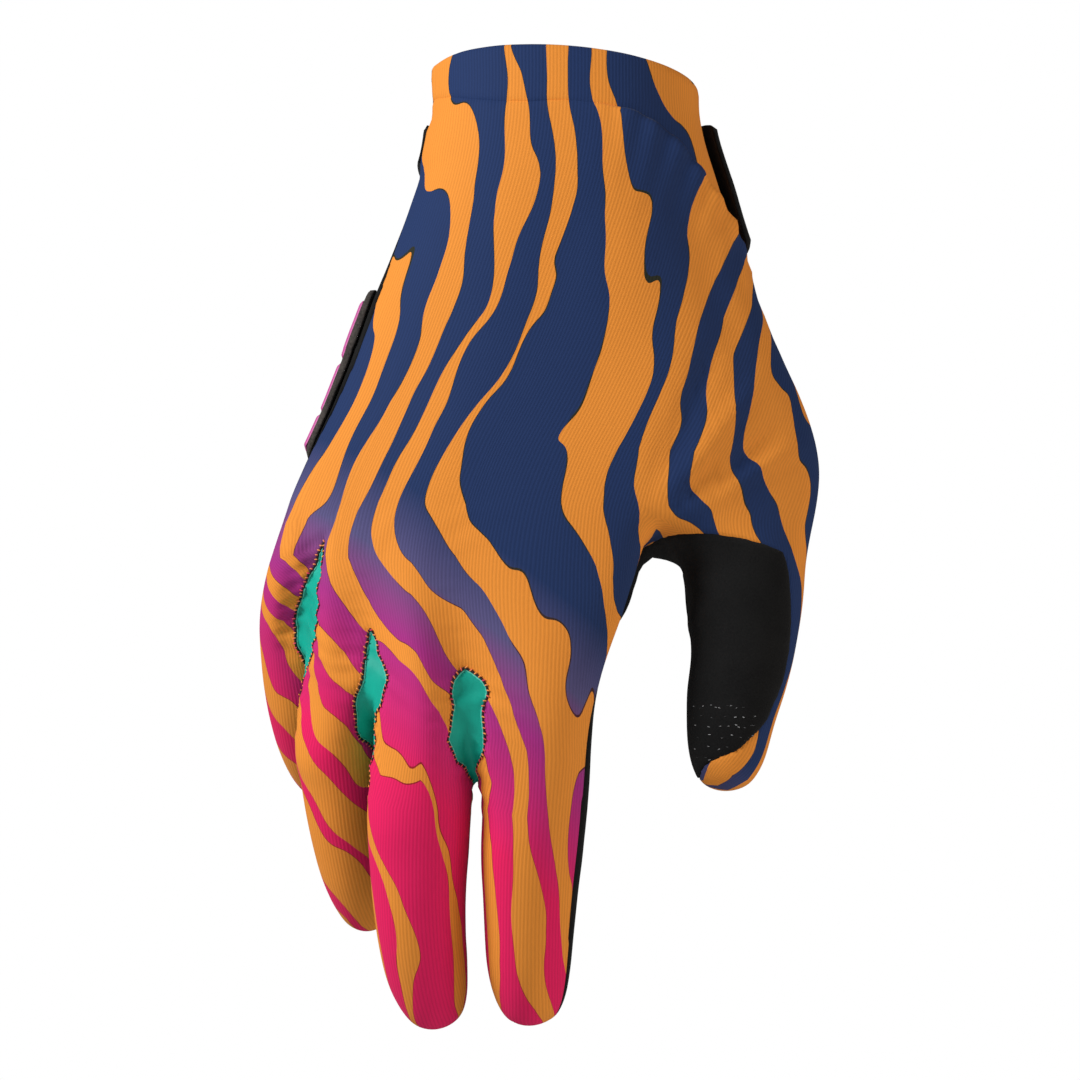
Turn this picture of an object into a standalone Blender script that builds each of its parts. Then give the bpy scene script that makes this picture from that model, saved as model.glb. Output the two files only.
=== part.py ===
"""Motocross glove for the right hand, in its worn form, with nothing inside it. Metres, +Z up.

The cuff's rim lies round the origin and opens upwards. The back of the hand faces -Y, the thumb is on the
+X side, and the fingers hang down and curl towards +Y.

One smooth skin is drawn through named sections of the wrist, palm, fingers and thumb. The seams cut that skin
into its sewn panels, and each panel is then given the thickness of its own cloth, inwards from the skin.
"""

import math
from collections import namedtuple

import bmesh
import bpy
import numpy as np
from mathutils import Vector
from mathutils.bvhtree import BVHTree

MM = 0.001

# Palm and wrist
RIM_TILT = 4.6 * MM
FORK_DROP = 106 * MM
HALF_SPAN = 60 * MM
WRIST_DEPTH = 44 * MM
THUMB_SET_BACK = 8 * MM
LITTLE_SET_BACK = 6 * MM
KNUCKLE_RISE = 1.6 * MM

# Fingers: the middle one is the longest and widest, and the others are shares of it
MIDDLE_ACROSS = -33.5 * MM
MIDDLE_BACK = 7.5 * MM
MIDDLE_DROP = 155 * MM
FINGER_LENGTH = 71 * MM
FINGER_WIDTH = 23.6 * MM
WEB_RISE = 5 * MM
WEB_DIP = 3 * MM

# Thumb
THUMB_LENGTH = 58 * MM
THUMB_WIDTH = 26.5 * MM

# Cloth
KNIT_WALL = 1.2 * MM
SUEDE_WALL = 1.4 * MM
GUSSET_WALL = 1.0 * MM
HEM_WALL = 2.0 * MM
SEAM_GAP = 0.3 * MM

# Cuff hem, and the slack knit that is gathered over it on the thumb side
HEM_HEIGHT = 12.6 * MM
HEM_DROP = 26.4 * MM
GATHER_RISE = 1.8 * MM
GATHER_LENGTH = 16 * MM

# Gussets between the fingers, seen from the back as long lenses
GUSSET_RISE = 15 * MM

# Pad on the little-finger side of the palm, and its raised bars
PIECE_CLEAR = 0.3 * MM
PAD_CLEAR = 0.8 * MM
PAD_EDGE = 4.5 * MM
PAD_LENGTH = 39 * MM
PAD_WIDTH = 22 * MM
PAD_WALL = 1.4 * MM
PAD_DROP = 69.5 * MM
BAR_WALL = 0.8 * MM
BAR_WIDTH = 8 * MM

# Closing tab on the palm side of the wrist, in degrees from the thumb's side over the palm
STRAP_WIDTH = 34 * MM
STRAP_ROOT = 9 * MM
STRAP_WALL = 1.8 * MM
STRAP_DROP = 20 * MM
STRAP_SLOPE = 9 * MM
STRAP_CORNER = 5 * MM
STRAP_LIFT = 0.9 * MM
STRAP_START, STRAP_STOP = 184, 1

# Sections of wrist and palm. drop is a share of FORK_DROP, ulnar and radial are half widths as shares of
# HALF_SPAN, back and palm are half depths as shares of WRIST_DEPTH, and square is the corner exponent.
Section = namedtuple("Section", "drop ulnar radial back palm square")
SECTIONS = (
    Section(0.00, 0.515, 0.515, 0.51, 0.49, 2.00),
    Section(0.11, 0.512, 0.525, 0.50, 0.49, 2.05),
    Section(0.26, 0.575, 0.600, 0.47, 0.48, 2.15),
    Section(0.42, 0.675, 0.675, 0.43, 0.49, 2.25),
    Section(0.56, 0.770, 0.785, 0.39, 0.51, 2.35),
    Section(0.70, 0.855, 0.890, 0.36, 0.53, 2.45),
    Section(0.84, 0.970, 0.960, 0.33, 0.54, 2.50),
    Section(1.00, 1.070, 0.930, 0.29, 0.54, 2.50),
)

# Lengthwise lines of the skin from the little finger's side to the thumb's. at_cuff and at_fork are places
# across the section, as shares of its half width.
Line = namedtuple("Line", "at_cuff at_fork")
LINES = (
    Line(-0.966, -0.985),
    Line(-0.866, -0.935),
    Line(-0.707, -0.800),
    Line(-0.500, -0.760),
    Line(-0.259, -0.620),
    Line(0.000, -0.465),
    Line(0.259, -0.300),
    Line(0.500, 0.000),
    Line(0.707, 0.400),
    Line(0.866, 0.690),
    Line(0.966, 0.885),
)
LAST_HAND_LINE = 8
LAST_LINE = len(LINES) - 1
BODY_DROPS = (0.0, 0.11, 0.23, 0.36, 0.49, 0.62, 0.75, 0.88, 1.0)
FORK_ROW = len(BODY_DROPS) - 1
HEM_ROWS, HEEL_ROW = 5, 2

# Rows between the fork of the thumb and the roots of the fingers. knuckle and valley are shares of
# KNUCKLE_RISE, over the fingers' own lines and over the lines between them.
HandRow = namedtuple("HandRow", "place knuckle valley")
HAND_ROWS = (HandRow(0.27, 0.2, 0.0), HandRow(0.53, 0.9, -0.3), HandRow(0.78, 1.0, -0.8))
WEB_ROW = FORK_ROW + len(HAND_ROWS) + 1
# The skin dips into the fork of the thumb, and turns there towards the index finger.
FORK_DIP = Vector((0.0, 2.5 * MM, -2.0 * MM))
FORK_TURN = Vector((-1.0, 0.0, -0.75))

# The fingers from the little one to the index. across, back and drop are places from the middle finger's
# root, and width is the finger's own, all as shares of FINGER_WIDTH; length is a share of FINGER_LENGTH.
# Flex turns a finger towards the palm and lean turns it towards the thumb, at its root and at its tip.
Finger = namedtuple("Finger", "name across back drop length width roll flex_root flex_tip lean_root lean_tip")
FINGERS = (
    Finger("little", -1.17, 0.78, -1.22, 0.76, 0.73, 34, 46, 86, 2.0, 24.0),
    Finger("ring", -0.79, 0.30, -0.66, 0.92, 0.85, 12, 34, 60, 3.0, 15.0),
    Finger("middle", 0.07, 0.00, 0.00, 1.00, 1.02, 0, 27, 52, -3.5, 16.0),
    Finger("index", 1.15, 0.02, 0.12, 0.92, 1.02, -4, 25, 48, -3.5, 3.5),
)

# Girth of a finger from root to tip. width and depth are shares of the finger's width.
Girth = namedtuple("Girth", "station width depth")
FINGER_GIRTH = (
    Girth(-0.20, 1.00, 0.93),
    Girth(0.00, 1.00, 0.91),
    Girth(0.20, 0.98, 0.88),
    Girth(0.40, 0.92, 0.86),
    Girth(0.57, 0.86, 0.82),
    Girth(0.72, 0.80, 0.76),
    Girth(0.85, 0.72, 0.67),
    Girth(0.94, 0.54, 0.50),
    Girth(1.00, 0.30, 0.28),
)
FINGER_STATIONS = (0.20, 0.33, 0.47, 0.62, 0.77, 0.89, 0.965)

# Places round a finger, in degrees from the middle of its back towards the thumb.
BACK_EDGE, SIDE, PALM_EDGE = 48, 94, 138
INDEX_SIDE = 80

# Thumb sections. station is a share of THUMB_LENGTH, across a share of HALF_SPAN, back a share of
# WRIST_DEPTH, and width and depth are shares of THUMB_WIDTH.
ThumbSection = namedtuple("ThumbSection", "station across back width depth")
THUMB_SECTIONS = (
    ThumbSection(0.13, 0.670, 0.24, 1.06, 1.00),
    ThumbSection(0.28, 0.675, 0.27, 0.99, 0.92),
    ThumbSection(0.44, 0.672, 0.31, 0.88, 0.86),
    ThumbSection(0.60, 0.645, 0.34, 0.83, 0.80),
    ThumbSection(0.75, 0.621, 0.37, 0.73, 0.72),
    ThumbSection(0.88, 0.608, 0.39, 0.62, 0.61),
    ThumbSection(0.965, 0.601, 0.40, 0.41, 0.39),
)
THUMB_TIP = ThumbSection(1.0, 0.598, 0.405, 0, 0)

# How far round the thumb its suede patch reaches, in the steps of THUMB_PLACES. station is a share of
# THUMB_LENGTH.
PatchEdge = namedtuple("PatchEdge", "station reach")
PATCH_EDGE = (
    PatchEdge(0.00, 1.0),
    PatchEdge(0.13, 2.85),
    PatchEdge(0.28, 3.15),
    PatchEdge(0.44, 3.45),
    PatchEdge(0.60, 3.60),
    PatchEdge(0.75, 3.30),
    PatchEdge(0.88, 2.30),
    PatchEdge(0.965, -0.60),
    PatchEdge(1.00, -1.50),
)

# Places round the thumb, from its inner side past its front or its back to the nail.
THUMB_PLACES = {"M": 0.0, "D8": 1.0, "D9": 2.0, "D10": 3.0, "R": 4.2, "P10": 4.0, "P9": 3.0, "P8": 1.5}
# The patch's place over the thumb's root, where it meets the palm along the back of the fork.
PATCH_ROOT = {"M": -0.7, "P8": 0.0, "P9": 0.0, "P10": -1.2, "R": -3.0, "D10": -2.6, "D9": -2.2, "D8": -2.0}

# How far the palm's suede reaches round the little-finger side onto the back, in lengthwise lines of the
# skin. drop is a share of FORK_DROP.
HeelEdge = namedtuple("HeelEdge", "drop reach")
HEEL_EDGE = (
    HeelEdge(0.00, 0.00),
    HeelEdge(0.25, 0.00),
    HeelEdge(0.36, 0.50),
    HeelEdge(0.50, 1.20),
    HeelEdge(0.65, 1.30),
    HeelEdge(0.80, 0.80),
    HeelEdge(0.95, 0.25),
    HeelEdge(1.15, 0.00),
)

# How far the palm's suede reaches round the index finger's side onto its back, as a share of the way from line M
# to line D8. place runs from the fork of the thumb at 0 over the finger's root at 1 to its tip at 2.
IndexEdge = namedtuple("IndexEdge", "place reach")
INDEX_EDGE = (
    IndexEdge(0.0, 0.0),
    IndexEdge(0.3, 0.10),
    IndexEdge(0.6, 0.30),
    IndexEdge(1.0, 0.55),
    IndexEdge(1.3, 0.66),
    IndexEdge(2.0, 0.62),
)
INDEX_LINES = {"M": 0, "D8": 1, "P8": -1}

# How far the hem reaches down on each lengthwise line, as a share of HEM_DROP past HEM_HEIGHT, and how much
# of GATHER_RISE the knit stands up below it there.
HemLine = namedtuple("HemLine", "drop gather")
HEM_LINES = {
    "P3": HemLine(-0.02, 0.0),
    "P2": HemLine(-0.08, 0.0),
    "P1": HemLine(-0.18, 0.0),
    "P0": HemLine(-0.27, 0.0),
    "L": HemLine(-0.29, 0.0),
    "D0": HemLine(-0.27, 0.0),
    "D1": HemLine(-0.20, 0.0),
    "D2": HemLine(-0.11, 0.0),
    "D3": HemLine(-0.04, 0.0),
    "D7": HemLine(0.02, 0.3),
    "D8": HemLine(0.09, 0.9),
    "D9": HemLine(0.24, 1.0),
    "D10": HemLine(0.50, 1.0),
    "R": HemLine(1.0, 0.3),
    "P10": HemLine(1.0, 0.0),
    "P9": HemLine(0.95, 0.0),
    "P8": HemLine(0.80, 0.0),
    "P7": HemLine(0.60, 0.0),
    "P6": HemLine(0.35, 0.0),
    "P5": HemLine(0.12, 0.0),
}
LEVEL_HEM = HemLine(0.0, 0.0)

# The raised bars on the pad, as shares of PAD_LENGTH.
Bar = namedtuple("Bar", "start length")
BARS = (Bar(0.09, 0.333), Bar(0.4625, 0.28), Bar(0.77, 0.185))

BACK, PALM, PATCH, HEM, GUSSET = range(5)
# Where a gusset starts on the finger before its gap and on the one after it, and where it stops on their front: 0
# is the middle of a finger's back, 0.5 the valley beside it, 1 its side and 2 the middle of its front. station is
# a share of GUSSET_RISE, from the fingers' roots.
GussetEdge = namedtuple("GussetEdge", "station before after stop")
LITTLE_RING_EDGE = (
    GussetEdge(-1.95, 0.70, 0.70, 1.61),
    GussetEdge(-1.72, 0.50, 0.46, 1.61),
    GussetEdge(-1.36, 0.46, 0.24, 1.61),
    GussetEdge(-0.95, 0.38, 0.18, 1.61),
    GussetEdge(-0.42, 0.33, 0.24, 1.67),
    GussetEdge(-0.10, 0.42, 0.40, 1.78),
    GussetEdge(0.30, 0.70, 0.72, 1.72),
    GussetEdge(0.70, 0.90, 0.95, 1.61),
    GussetEdge(1.05, 1.02, 1.02, 1.36),
    GussetEdge(1.40, 1.16, 1.16, 1.10),
)
RING_MIDDLE_EDGE = (
    GussetEdge(-1.20, 0.70, 0.70, 1.40),
    GussetEdge(-1.00, 0.49, 0.49, 1.40),
    GussetEdge(-0.80, 0.46, 0.44, 1.40),
    GussetEdge(-0.66, 0.44, 0.43, 1.40),
    GussetEdge(-0.56, 0.43, 0.36, 1.40),
    GussetEdge(-0.36, 0.40, 0.40, 1.45),
    GussetEdge(-0.06, 0.35, 0.55, 1.55),
    GussetEdge(0.36, 0.39, 0.66, 1.55),
    GussetEdge(0.70, 0.44, 0.86, 1.45),
    GussetEdge(1.05, 0.80, 1.02, 1.26),
    GussetEdge(1.40, 1.16, 1.16, 1.12),
)
MIDDLE_INDEX_EDGE = (
    GussetEdge(-1.05, 0.70, 0.70, 1.40),
    GussetEdge(-0.87, 0.48, 0.48, 1.40),
    GussetEdge(-0.79, 0.41, 0.40, 1.40),
    GussetEdge(-0.40, 0.37, 0.39, 1.40),
    GussetEdge(0.00, 0.35, 0.46, 1.55),
    GussetEdge(0.22, 0.50, 0.62, 1.55),
    GussetEdge(0.48, 0.74, 0.84, 1.50),
    GussetEdge(0.80, 0.98, 1.00, 1.40),
    GussetEdge(1.10, 1.06, 1.06, 1.26),
    GussetEdge(1.45, 1.16, 1.16, 1.12),
)
# The gaps between the fingers. edge is the gusset's table, valley is the place of the skin's line between the two
# fingers, from one to the other, and dip is how far its web hangs below the roots, as a share of WEB_DIP.
Gap = namedtuple("Gap", "name edge valley dip")
GAPS = (
    Gap("little_ring", LITTLE_RING_EDGE, 0.5, 1.0),
    Gap("ring_middle", RING_MIDDLE_EDGE, 0.5, 1.6),
    Gap("middle_index", MIDDLE_INDEX_EDGE, 0.06, 3.2),
)

COLOURS = {
    "print": ((0.02, 0.07, 0.24), 0.75),
    "suede": ((0.012, 0.012, 0.013), 0.95),
    "teal": ((0.0, 0.32, 0.27), 0.8),
    "pink": ((0.62, 0.03, 0.25), 0.5),
    "webbing": ((0.015, 0.015, 0.016), 0.9),
}


def smooth_step(value):
    t = min(max(value, 0.0), 1.0)
    return t * t * (3 - 2 * t)


def hermite(start, end, leave, arrive, t):
    """Point at t on the cubic from start to end that leaves and arrives with these tangents."""
    return (
        start * (2 * t**3 - 3 * t**2 + 1)
        + leave * (t**3 - 2 * t**2 + t)
        + end * (3 * t**2 - 2 * t**3)
        + arrive * (t**3 - t**2)
    )


def read_table(rows, column, place):
    """One column of a table at a place between its rows, on a smooth curve through them."""
    places = [row[0] for row in rows]
    values = [getattr(row, column) for row in rows]
    slopes = np.gradient(values, places)
    place = min(max(place, places[0]), places[-1])
    i = min(max(int(np.searchsorted(places, place)) - 1, 0), len(places) - 2)
    span = places[i + 1] - places[i]
    t = (place - places[i]) / span
    return float(hermite(values[i], values[i + 1], slopes[i] * span, slopes[i + 1] * span, t))


def palm_point(share, side, drop):
    """Point of the wrist and palm at a share of the half width, on the back (-1) or palm (+1) side."""
    ulnar, radial, back, palm, square = (
        read_table(SECTIONS, column, drop) for column in ("ulnar", "radial", "back", "palm", "square")
    )
    half, middle = (ulnar + radial) / 2, (radial - ulnar) / 2
    rise = max(0.0, 1 - abs(share) ** square) ** (1 / square)
    depth = back if side < 0 else palm
    set_back = THUMB_SET_BACK * smooth_step((share - 0.15) / 0.85) * smooth_step(drop / 0.8)
    set_back += LITTLE_SET_BACK * smooth_step((-share - 0.3) / 0.7) * smooth_step(drop)
    return Vector(
        (
            HALF_SPAN * (middle + half * share),
            WRIST_DEPTH * side * rise * depth + set_back,
            -FORK_DROP * drop,
        )
    )


def line_share(index, drop):
    line = LINES[index]
    return line.at_cuff + (line.at_fork - line.at_cuff) * smooth_step(drop)


def body_ring(drop):
    """The ring of named points round the wrist or palm at this drop. The rim itself slopes to the thumb."""
    ring = {"L": palm_point(-0.995, -1, drop), "R": palm_point(1.0, 1, drop)}
    for i in range(len(LINES)):
        ring[f"D{i}"] = palm_point(line_share(i, drop), -1, drop)
        ring[f"P{i}"] = palm_point(line_share(i, drop), 1, drop)
    if drop == 0:
        for point in ring.values():
            point.z -= RIM_TILT / 2 * point.x / (HALF_SPAN * SECTIONS[0].radial)
    return ring


class Spine:
    """The middle line of a finger, which curls more and more towards its tip."""

    STEPS = 60

    def __init__(self, finger):
        self.finger = finger
        self.length = finger.length * FINGER_LENGTH
        self.width = finger.width * FINGER_WIDTH
        point = Vector(
            (
                MIDDLE_ACROSS + finger.across * FINGER_WIDTH,
                MIDDLE_BACK + finger.back * FINGER_WIDTH,
                -MIDDLE_DROP - finger.drop * FINGER_WIDTH,
            )
        )
        self.points = [point]
        for i in range(self.STEPS):
            step = self.length / self.STEPS
            self.points.append(self.points[-1] + self.axes((i + 0.5) / self.STEPS)[0] * step)

    def axes(self, station):
        """Along the finger, out of its back, and towards the thumb."""
        turn = min(max(station, 0.0), 1.0)
        flex = math.radians(self.finger.flex_root + (self.finger.flex_tip - self.finger.flex_root) * turn)
        lean = math.radians(self.finger.lean_root + (self.finger.lean_tip - self.finger.lean_root) * turn**2)
        along = Vector((math.sin(lean), math.cos(lean) * math.sin(flex), -math.cos(lean) * math.cos(flex)))
        out = Vector((0, -math.cos(flex), -math.sin(flex)))
        out = (out - along * out.dot(along)).normalized()
        beside = out.cross(along)
        roll = math.radians(self.finger.roll)
        return along, out * math.cos(roll) - beside * math.sin(roll), beside * math.cos(roll) + out * math.sin(roll)

    def centre(self, station):
        if station < 0:
            return self.points[0] + self.axes(0)[0] * station * self.length
        place = min(station, 1.0) * self.STEPS
        i = min(int(place), self.STEPS - 1)
        return self.points[i].lerp(self.points[i + 1], place - i)

    def ring_point(self, station, degrees):
        _, out, beside = self.axes(station)
        wide = read_table(FINGER_GIRTH, "width", station) * self.width / 2
        deep = read_table(FINGER_GIRTH, "depth", station) * self.width / 2
        angle = math.radians(degrees)
        return self.centre(station) + beside * wide * math.sin(angle) + out * deep * math.cos(angle)


# Marks on the skin's points: how far round a finger and along it, how deep inside the thumb's patch, how far
# below the hem, how much the knit is gathered, and how far inside the palm's suede at the little finger and at
# the index finger.
MARKS = ("around", "along", "patch", "hem", "gather", "heel", "edge")
NO_MARK = -3.0

# Zones of the skin, one for each kind of seam. The gussets' zones follow the last one, two for each gap: on the
# finger before it and on the one after it.
NO_ZONE, HEM_ZONE, HEEL_ZONE, PATCH_ZONE, INDEX_ZONE, GUSSET_ZONE = range(6)


class Skin:
    """A coarse net of named points with quads between them, which is smoothed into the glove's surface."""

    def __init__(self):
        self.index = {}
        self.points = []
        self.marks = []
        self.faces = []
        self.labels = []

    def add(self, name, point, **marks):
        self.index[name] = len(self.points)
        self.points.append(point)
        self.marks.append([marks.get(mark, NO_MARK) for mark in MARKS])

    def quad(self, names, panel, zone):
        self.faces.append([self.index[n] for n in names])
        self.labels.append((panel, zone))

    def strip(self, upper, lower, panels, zones):
        """Quads between two rings of names, each with its panel and the zone of its seam."""
        for i in range(len(upper)):
            j = (i + 1) % len(upper)
            self.quad((upper[i], lower[i], lower[j], upper[j]), panels[i], zones[i])


BODY_NAMES = (
    ["L"] + [f"D{i}" for i in range(LAST_LINE + 1)] + ["R"] + [f"P{i}" for i in range(LAST_LINE, -1, -1)]
)
HAND_NAMES = (
    ["L"]
    + [f"D{i}" for i in range(LAST_HAND_LINE + 1)]
    + ["M"]
    + [f"P{i}" for i in range(LAST_HAND_LINE, -1, -1)]
)
THUMB_NAMES = ["D8", "D9", "D10", "R", "P10", "P9", "P8", "M"]
THUMB_ANGLES = {"R": 0, "D10": 45, "D9": 90, "D8": 135, "M": 180, "P8": 225, "P9": 270, "P10": 315}
HEEL_LINES = {"P0": -1, "L": 0, "D0": 1, "D1": 2}


def around_of(name):
    """Place of a lengthwise line round the finger it leads to: 0 on its back, 1 at its side, 2 on its front."""
    if name in ("L", "M"):
        return 1.0
    odd = int(name[1:]) % 2
    if name[0] == "D":
        return 0.0 if odd else 0.5
    return 2.0 if odd else 1.5


def heel_of(name, drop):
    return read_table(HEEL_EDGE, "reach", drop) - HEEL_LINES.get(name, 3)


def edge_of(name, place):
    return read_table(INDEX_EDGE, "reach", place) - INDEX_LINES.get(name, 3)


def finger_ring_names(i):
    """The eight names round the root of finger i, from its ulnar back edge towards the thumb."""
    right = "M" if i == 3 else f"W{i}"
    left = "L" if i == 0 else f"W{i - 1}"
    a, b, c = 2 * i, 2 * i + 1, 2 * i + 2
    return [f"D{a}", f"D{b}", f"D{c}", right, f"P{c}", f"P{b}", f"P{a}", left]


def root_points(spines):
    """Points of the ring where the palm divides into fingers. Neighbours share the points of their web."""
    root = {}
    for i, spine in enumerate(spines):
        root[f"D{2 * i + 1}"] = spine.ring_point(0, 0)
        root[f"P{2 * i + 1}"] = spine.ring_point(0, 180)
    rise = -WEB_RISE / FINGER_LENGTH
    for i, gap in enumerate(GAPS):
        one, other, line = spines[i], spines[i + 1], 2 * i + 2
        back = one.ring_point(rise, BACK_EDGE).lerp(other.ring_point(rise, -BACK_EDGE), gap.valley)
        dip = WEB_DIP * gap.dip / FINGER_LENGTH
        palm_dip = WEB_DIP * (1 + gap.dip) / 2 / FINGER_LENGTH
        root[f"D{line}"] = back
        root[f"W{i}"] = one.ring_point(dip, SIDE).lerp(other.ring_point(dip, -SIDE), 0.5)
        root[f"P{line}"] = one.ring_point(palm_dip, PALM_EDGE).lerp(other.ring_point(palm_dip, -PALM_EDGE), 0.5)
    little, index = spines[0], spines[-1]
    root["D0"] = little.ring_point(0, -BACK_EDGE)
    root["L"] = little.ring_point(0, -SIDE)
    root["P0"] = little.ring_point(0, -PALM_EDGE)
    root["D8"] = index.ring_point(0, BACK_EDGE)
    root["M"] = index.ring_point(0, INDEX_SIDE)
    root["P8"] = index.ring_point(0, PALM_EDGE)
    return root


def build_skin():
    skin = Skin()
    rings = [body_ring(drop) for drop in BODY_DROPS]
    rings[FORK_ROW]["D8"] += FORK_DIP
    for row, ring in enumerate(rings):
        for name in BODY_NAMES:
            line = HEM_LINES.get(name, LEVEL_HEM)
            hem = HEM_HEIGHT + HEM_DROP * line.drop
            marks = dict(hem=(-ring[name].z - hem) / GATHER_LENGTH, gather=line.gather, along=-2.0)
            marks["heel"] = heel_of(name, BODY_DROPS[row])
            if name in HAND_NAMES:
                marks["around"] = around_of(name)
            if row == FORK_ROW:
                marks.update(patch=PATCH_ROOT.get(name, NO_MARK), edge=edge_of(name, 0))
            skin.add((row, name), ring[name], **marks)
    for row in range(FORK_ROW):
        panels = [PALM if name[0] == "P" and name != "P10" else BACK for name in BODY_NAMES]
        zones = [HEM_ZONE if row < HEM_ROWS else NO_ZONE] * len(BODY_NAMES)
        if row >= HEEL_ROW:
            zones[:3] = [HEEL_ZONE] * 3
        skin.strip([(row, n) for n in BODY_NAMES], [(row + 1, n) for n in BODY_NAMES], panels, zones)

    fork_ring = rings[FORK_ROW]
    fork = fork_ring["D8"].lerp(fork_ring["P8"], 0.5)
    fork.z -= 0.02 * FORK_DROP
    skin.add((FORK_ROW, "M"), fork, around=1.0, along=-2.0, patch=0.0, hem=9.0, gather=0.0, edge=edge_of("M", 0))

    spines = [Spine(finger) for finger in FINGERS]
    add_hand(skin, rings, fork, spines)
    for i, spine in enumerate(spines):
        add_finger(skin, spine, i)
    add_thumb(skin)
    return skin


def add_hand(skin, rings, fork, spines):
    """The palm below the fork of the thumb, down to the roots of the fingers."""
    root = root_points(spines)
    above, start = rings[FORK_ROW - 1], dict(rings[FORK_ROW], M=fork)
    for name in HAND_NAMES:
        finger = {"L": 0, "M": 3}.get(name)
        if finger is None:
            finger = min(int(name[1:]) // 2, 3)
        arrive = spines[finger].axes(0)[0]
        span = (root[name] - start[name]).length
        leave = FORK_TURN.normalized() if name == "M" else (start[name] - above[name]).normalized()
        for row, hand_row in enumerate(HAND_ROWS, FORK_ROW + 1):
            point = hermite(start[name], root[name], leave * span, arrive * span, hand_row.place)
            if name[0] == "D" and name not in ("D0", "D8"):
                share = hand_row.valley if around_of(name) else hand_row.knuckle
                point = point + Vector((0, -1, 0)) * share * KNUCKLE_RISE
            marks = dict(around=around_of(name), along=-(point - root[name]).length / GUSSET_RISE)
            marks.update(heel=heel_of(name, -point.z / FORK_DROP), edge=edge_of(name, hand_row.place))
            skin.add((row, name), point, **marks)
        along = -WEB_RISE / GUSSET_RISE if name in ("D2", "D4", "D6") else 0.0
        marks = dict(around=around_of(name), along=along, heel=heel_of(name, 9), edge=edge_of(name, 1))
        skin.add((WEB_ROW, name), root[name], **marks)
    for i, gap in enumerate(GAPS):
        skin.add((WEB_ROW, f"W{i}"), root[f"W{i}"], around=1.0, along=WEB_DIP * gap.dip / GUSSET_RISE)

    panels = [BACK if name[0] in "LD" else PALM for name in HAND_NAMES]
    zones = [hand_zone(n, HAND_NAMES[(i + 1) % len(HAND_NAMES)]) for i, n in enumerate(HAND_NAMES)]
    for row in range(FORK_ROW, WEB_ROW):
        upper, lower = ([(r, n) for n in HAND_NAMES] for r in (row, row + 1))
        skin.strip(upper, lower, panels, zones)


def hand_zone(name, following):
    """Zone of the skin between two lines of the hand: beside a gap of the fingers, or at a side of the palm."""
    if (name, following) in (("L", "D0"), ("D0", "D1")):
        return HEEL_ZONE
    if (name, following) == ("D8", "M"):
        return INDEX_ZONE
    if name in ("M", "L") or following in ("M", "L"):
        return NO_ZONE
    even, odd = sorted((int(name[1:]), int(following[1:])), key=lambda line: line % 2)
    return GUSSET_ZONE + even - 2 + (odd > even) if 2 <= even <= 6 else NO_ZONE


def add_finger(skin, spine, i):
    """One finger, from its root ring to the point of its tip."""
    radial_side = INDEX_SIDE if i == 3 else SIDE
    angles = [-BACK_EDGE, 0, BACK_EDGE, radial_side, PALM_EDGE, 180, -PALM_EDGE, -SIDE]
    arounds = [0.5, 0.0, 0.5, 1.0, 1.5, 2.0, 1.5, 1.0]
    left = NO_ZONE if i == 0 else GUSSET_ZONE + 2 * i - 1
    right = NO_ZONE if i == 3 else GUSSET_ZONE + 2 * i
    zones = [left, right, right, right, right, left, left, left]
    tip_zones = [NO_ZONE] * 8
    if i == 3:
        zones[2] = tip_zones[2] = INDEX_ZONE
    panels = [BACK, BACK, BACK, PALM, PALM, PALM, PALM, BACK]
    upper = [(WEB_ROW, n) for n in finger_ring_names(i)]
    for k, station in enumerate(FINGER_STATIONS):
        lower = [(spine.finger.name, k, j) for j in range(8)]
        for name, degrees, around in zip(lower, angles, arounds):
            marks = dict(around=around, along=station * spine.length / GUSSET_RISE)
            if i == 3:
                marks["edge"] = edge_of({2: "D8", 3: "M", 4: "P8"}.get(name[2]), 1 + station)
            skin.add(name, spine.ring_point(station, degrees), **marks)
        skin.strip(upper, lower, panels, zones)
        upper = lower
    tip = (spine.finger.name, "tip")
    skin.add(tip, spine.centre(1.0), around=1.0, along=spine.length / GUSSET_RISE, edge=0.0)
    close_tip(skin, upper, tip, panels, tip_zones)


def close_tip(skin, ring, tip, panels, zones):
    """Four quads from an eight-point ring to the tip."""
    for j in range(0, 8, 2):
        following = (j + 2) % 8
        skin.quad((ring[j], tip, ring[following], ring[j + 1]), panels[j], zones[j])


def add_thumb(skin):
    """The thumb, from the fork to the point of its tip. Its nail side faces +X and its inner side -Y."""
    upper = [(FORK_ROW, n) for n in THUMB_NAMES]
    for k, section in enumerate(THUMB_SECTIONS):
        lower = [("thumb", k, n) for n in THUMB_NAMES]
        for name in lower:
            angle = math.radians(THUMB_ANGLES[name[2]])
            point = Vector(
                (
                    HALF_SPAN * section.across + section.width * THUMB_WIDTH / 2 * math.cos(angle),
                    WRIST_DEPTH * section.back - section.depth * THUMB_WIDTH / 2 * math.sin(angle),
                    -FORK_DROP - THUMB_LENGTH * section.station,
                )
            )
            reach = read_table(PATCH_EDGE, "reach", section.station)
            skin.add(name, point, patch=reach - THUMB_PLACES[name[2]])
        skin.strip(upper, lower, [BACK] * 8, [PATCH_ZONE] * 8)
        upper = lower
    tip = Vector((HALF_SPAN * THUMB_TIP.across, WRIST_DEPTH * THUMB_TIP.back, -FORK_DROP - THUMB_LENGTH))
    skin.add(("thumb", "tip"), tip, patch=read_table(PATCH_EDGE, "reach", 1.0) - 2.0)
    close_tip(skin, upper, ("thumb", "tip"), [BACK] * 8, [PATCH_ZONE] * 8)


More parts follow.
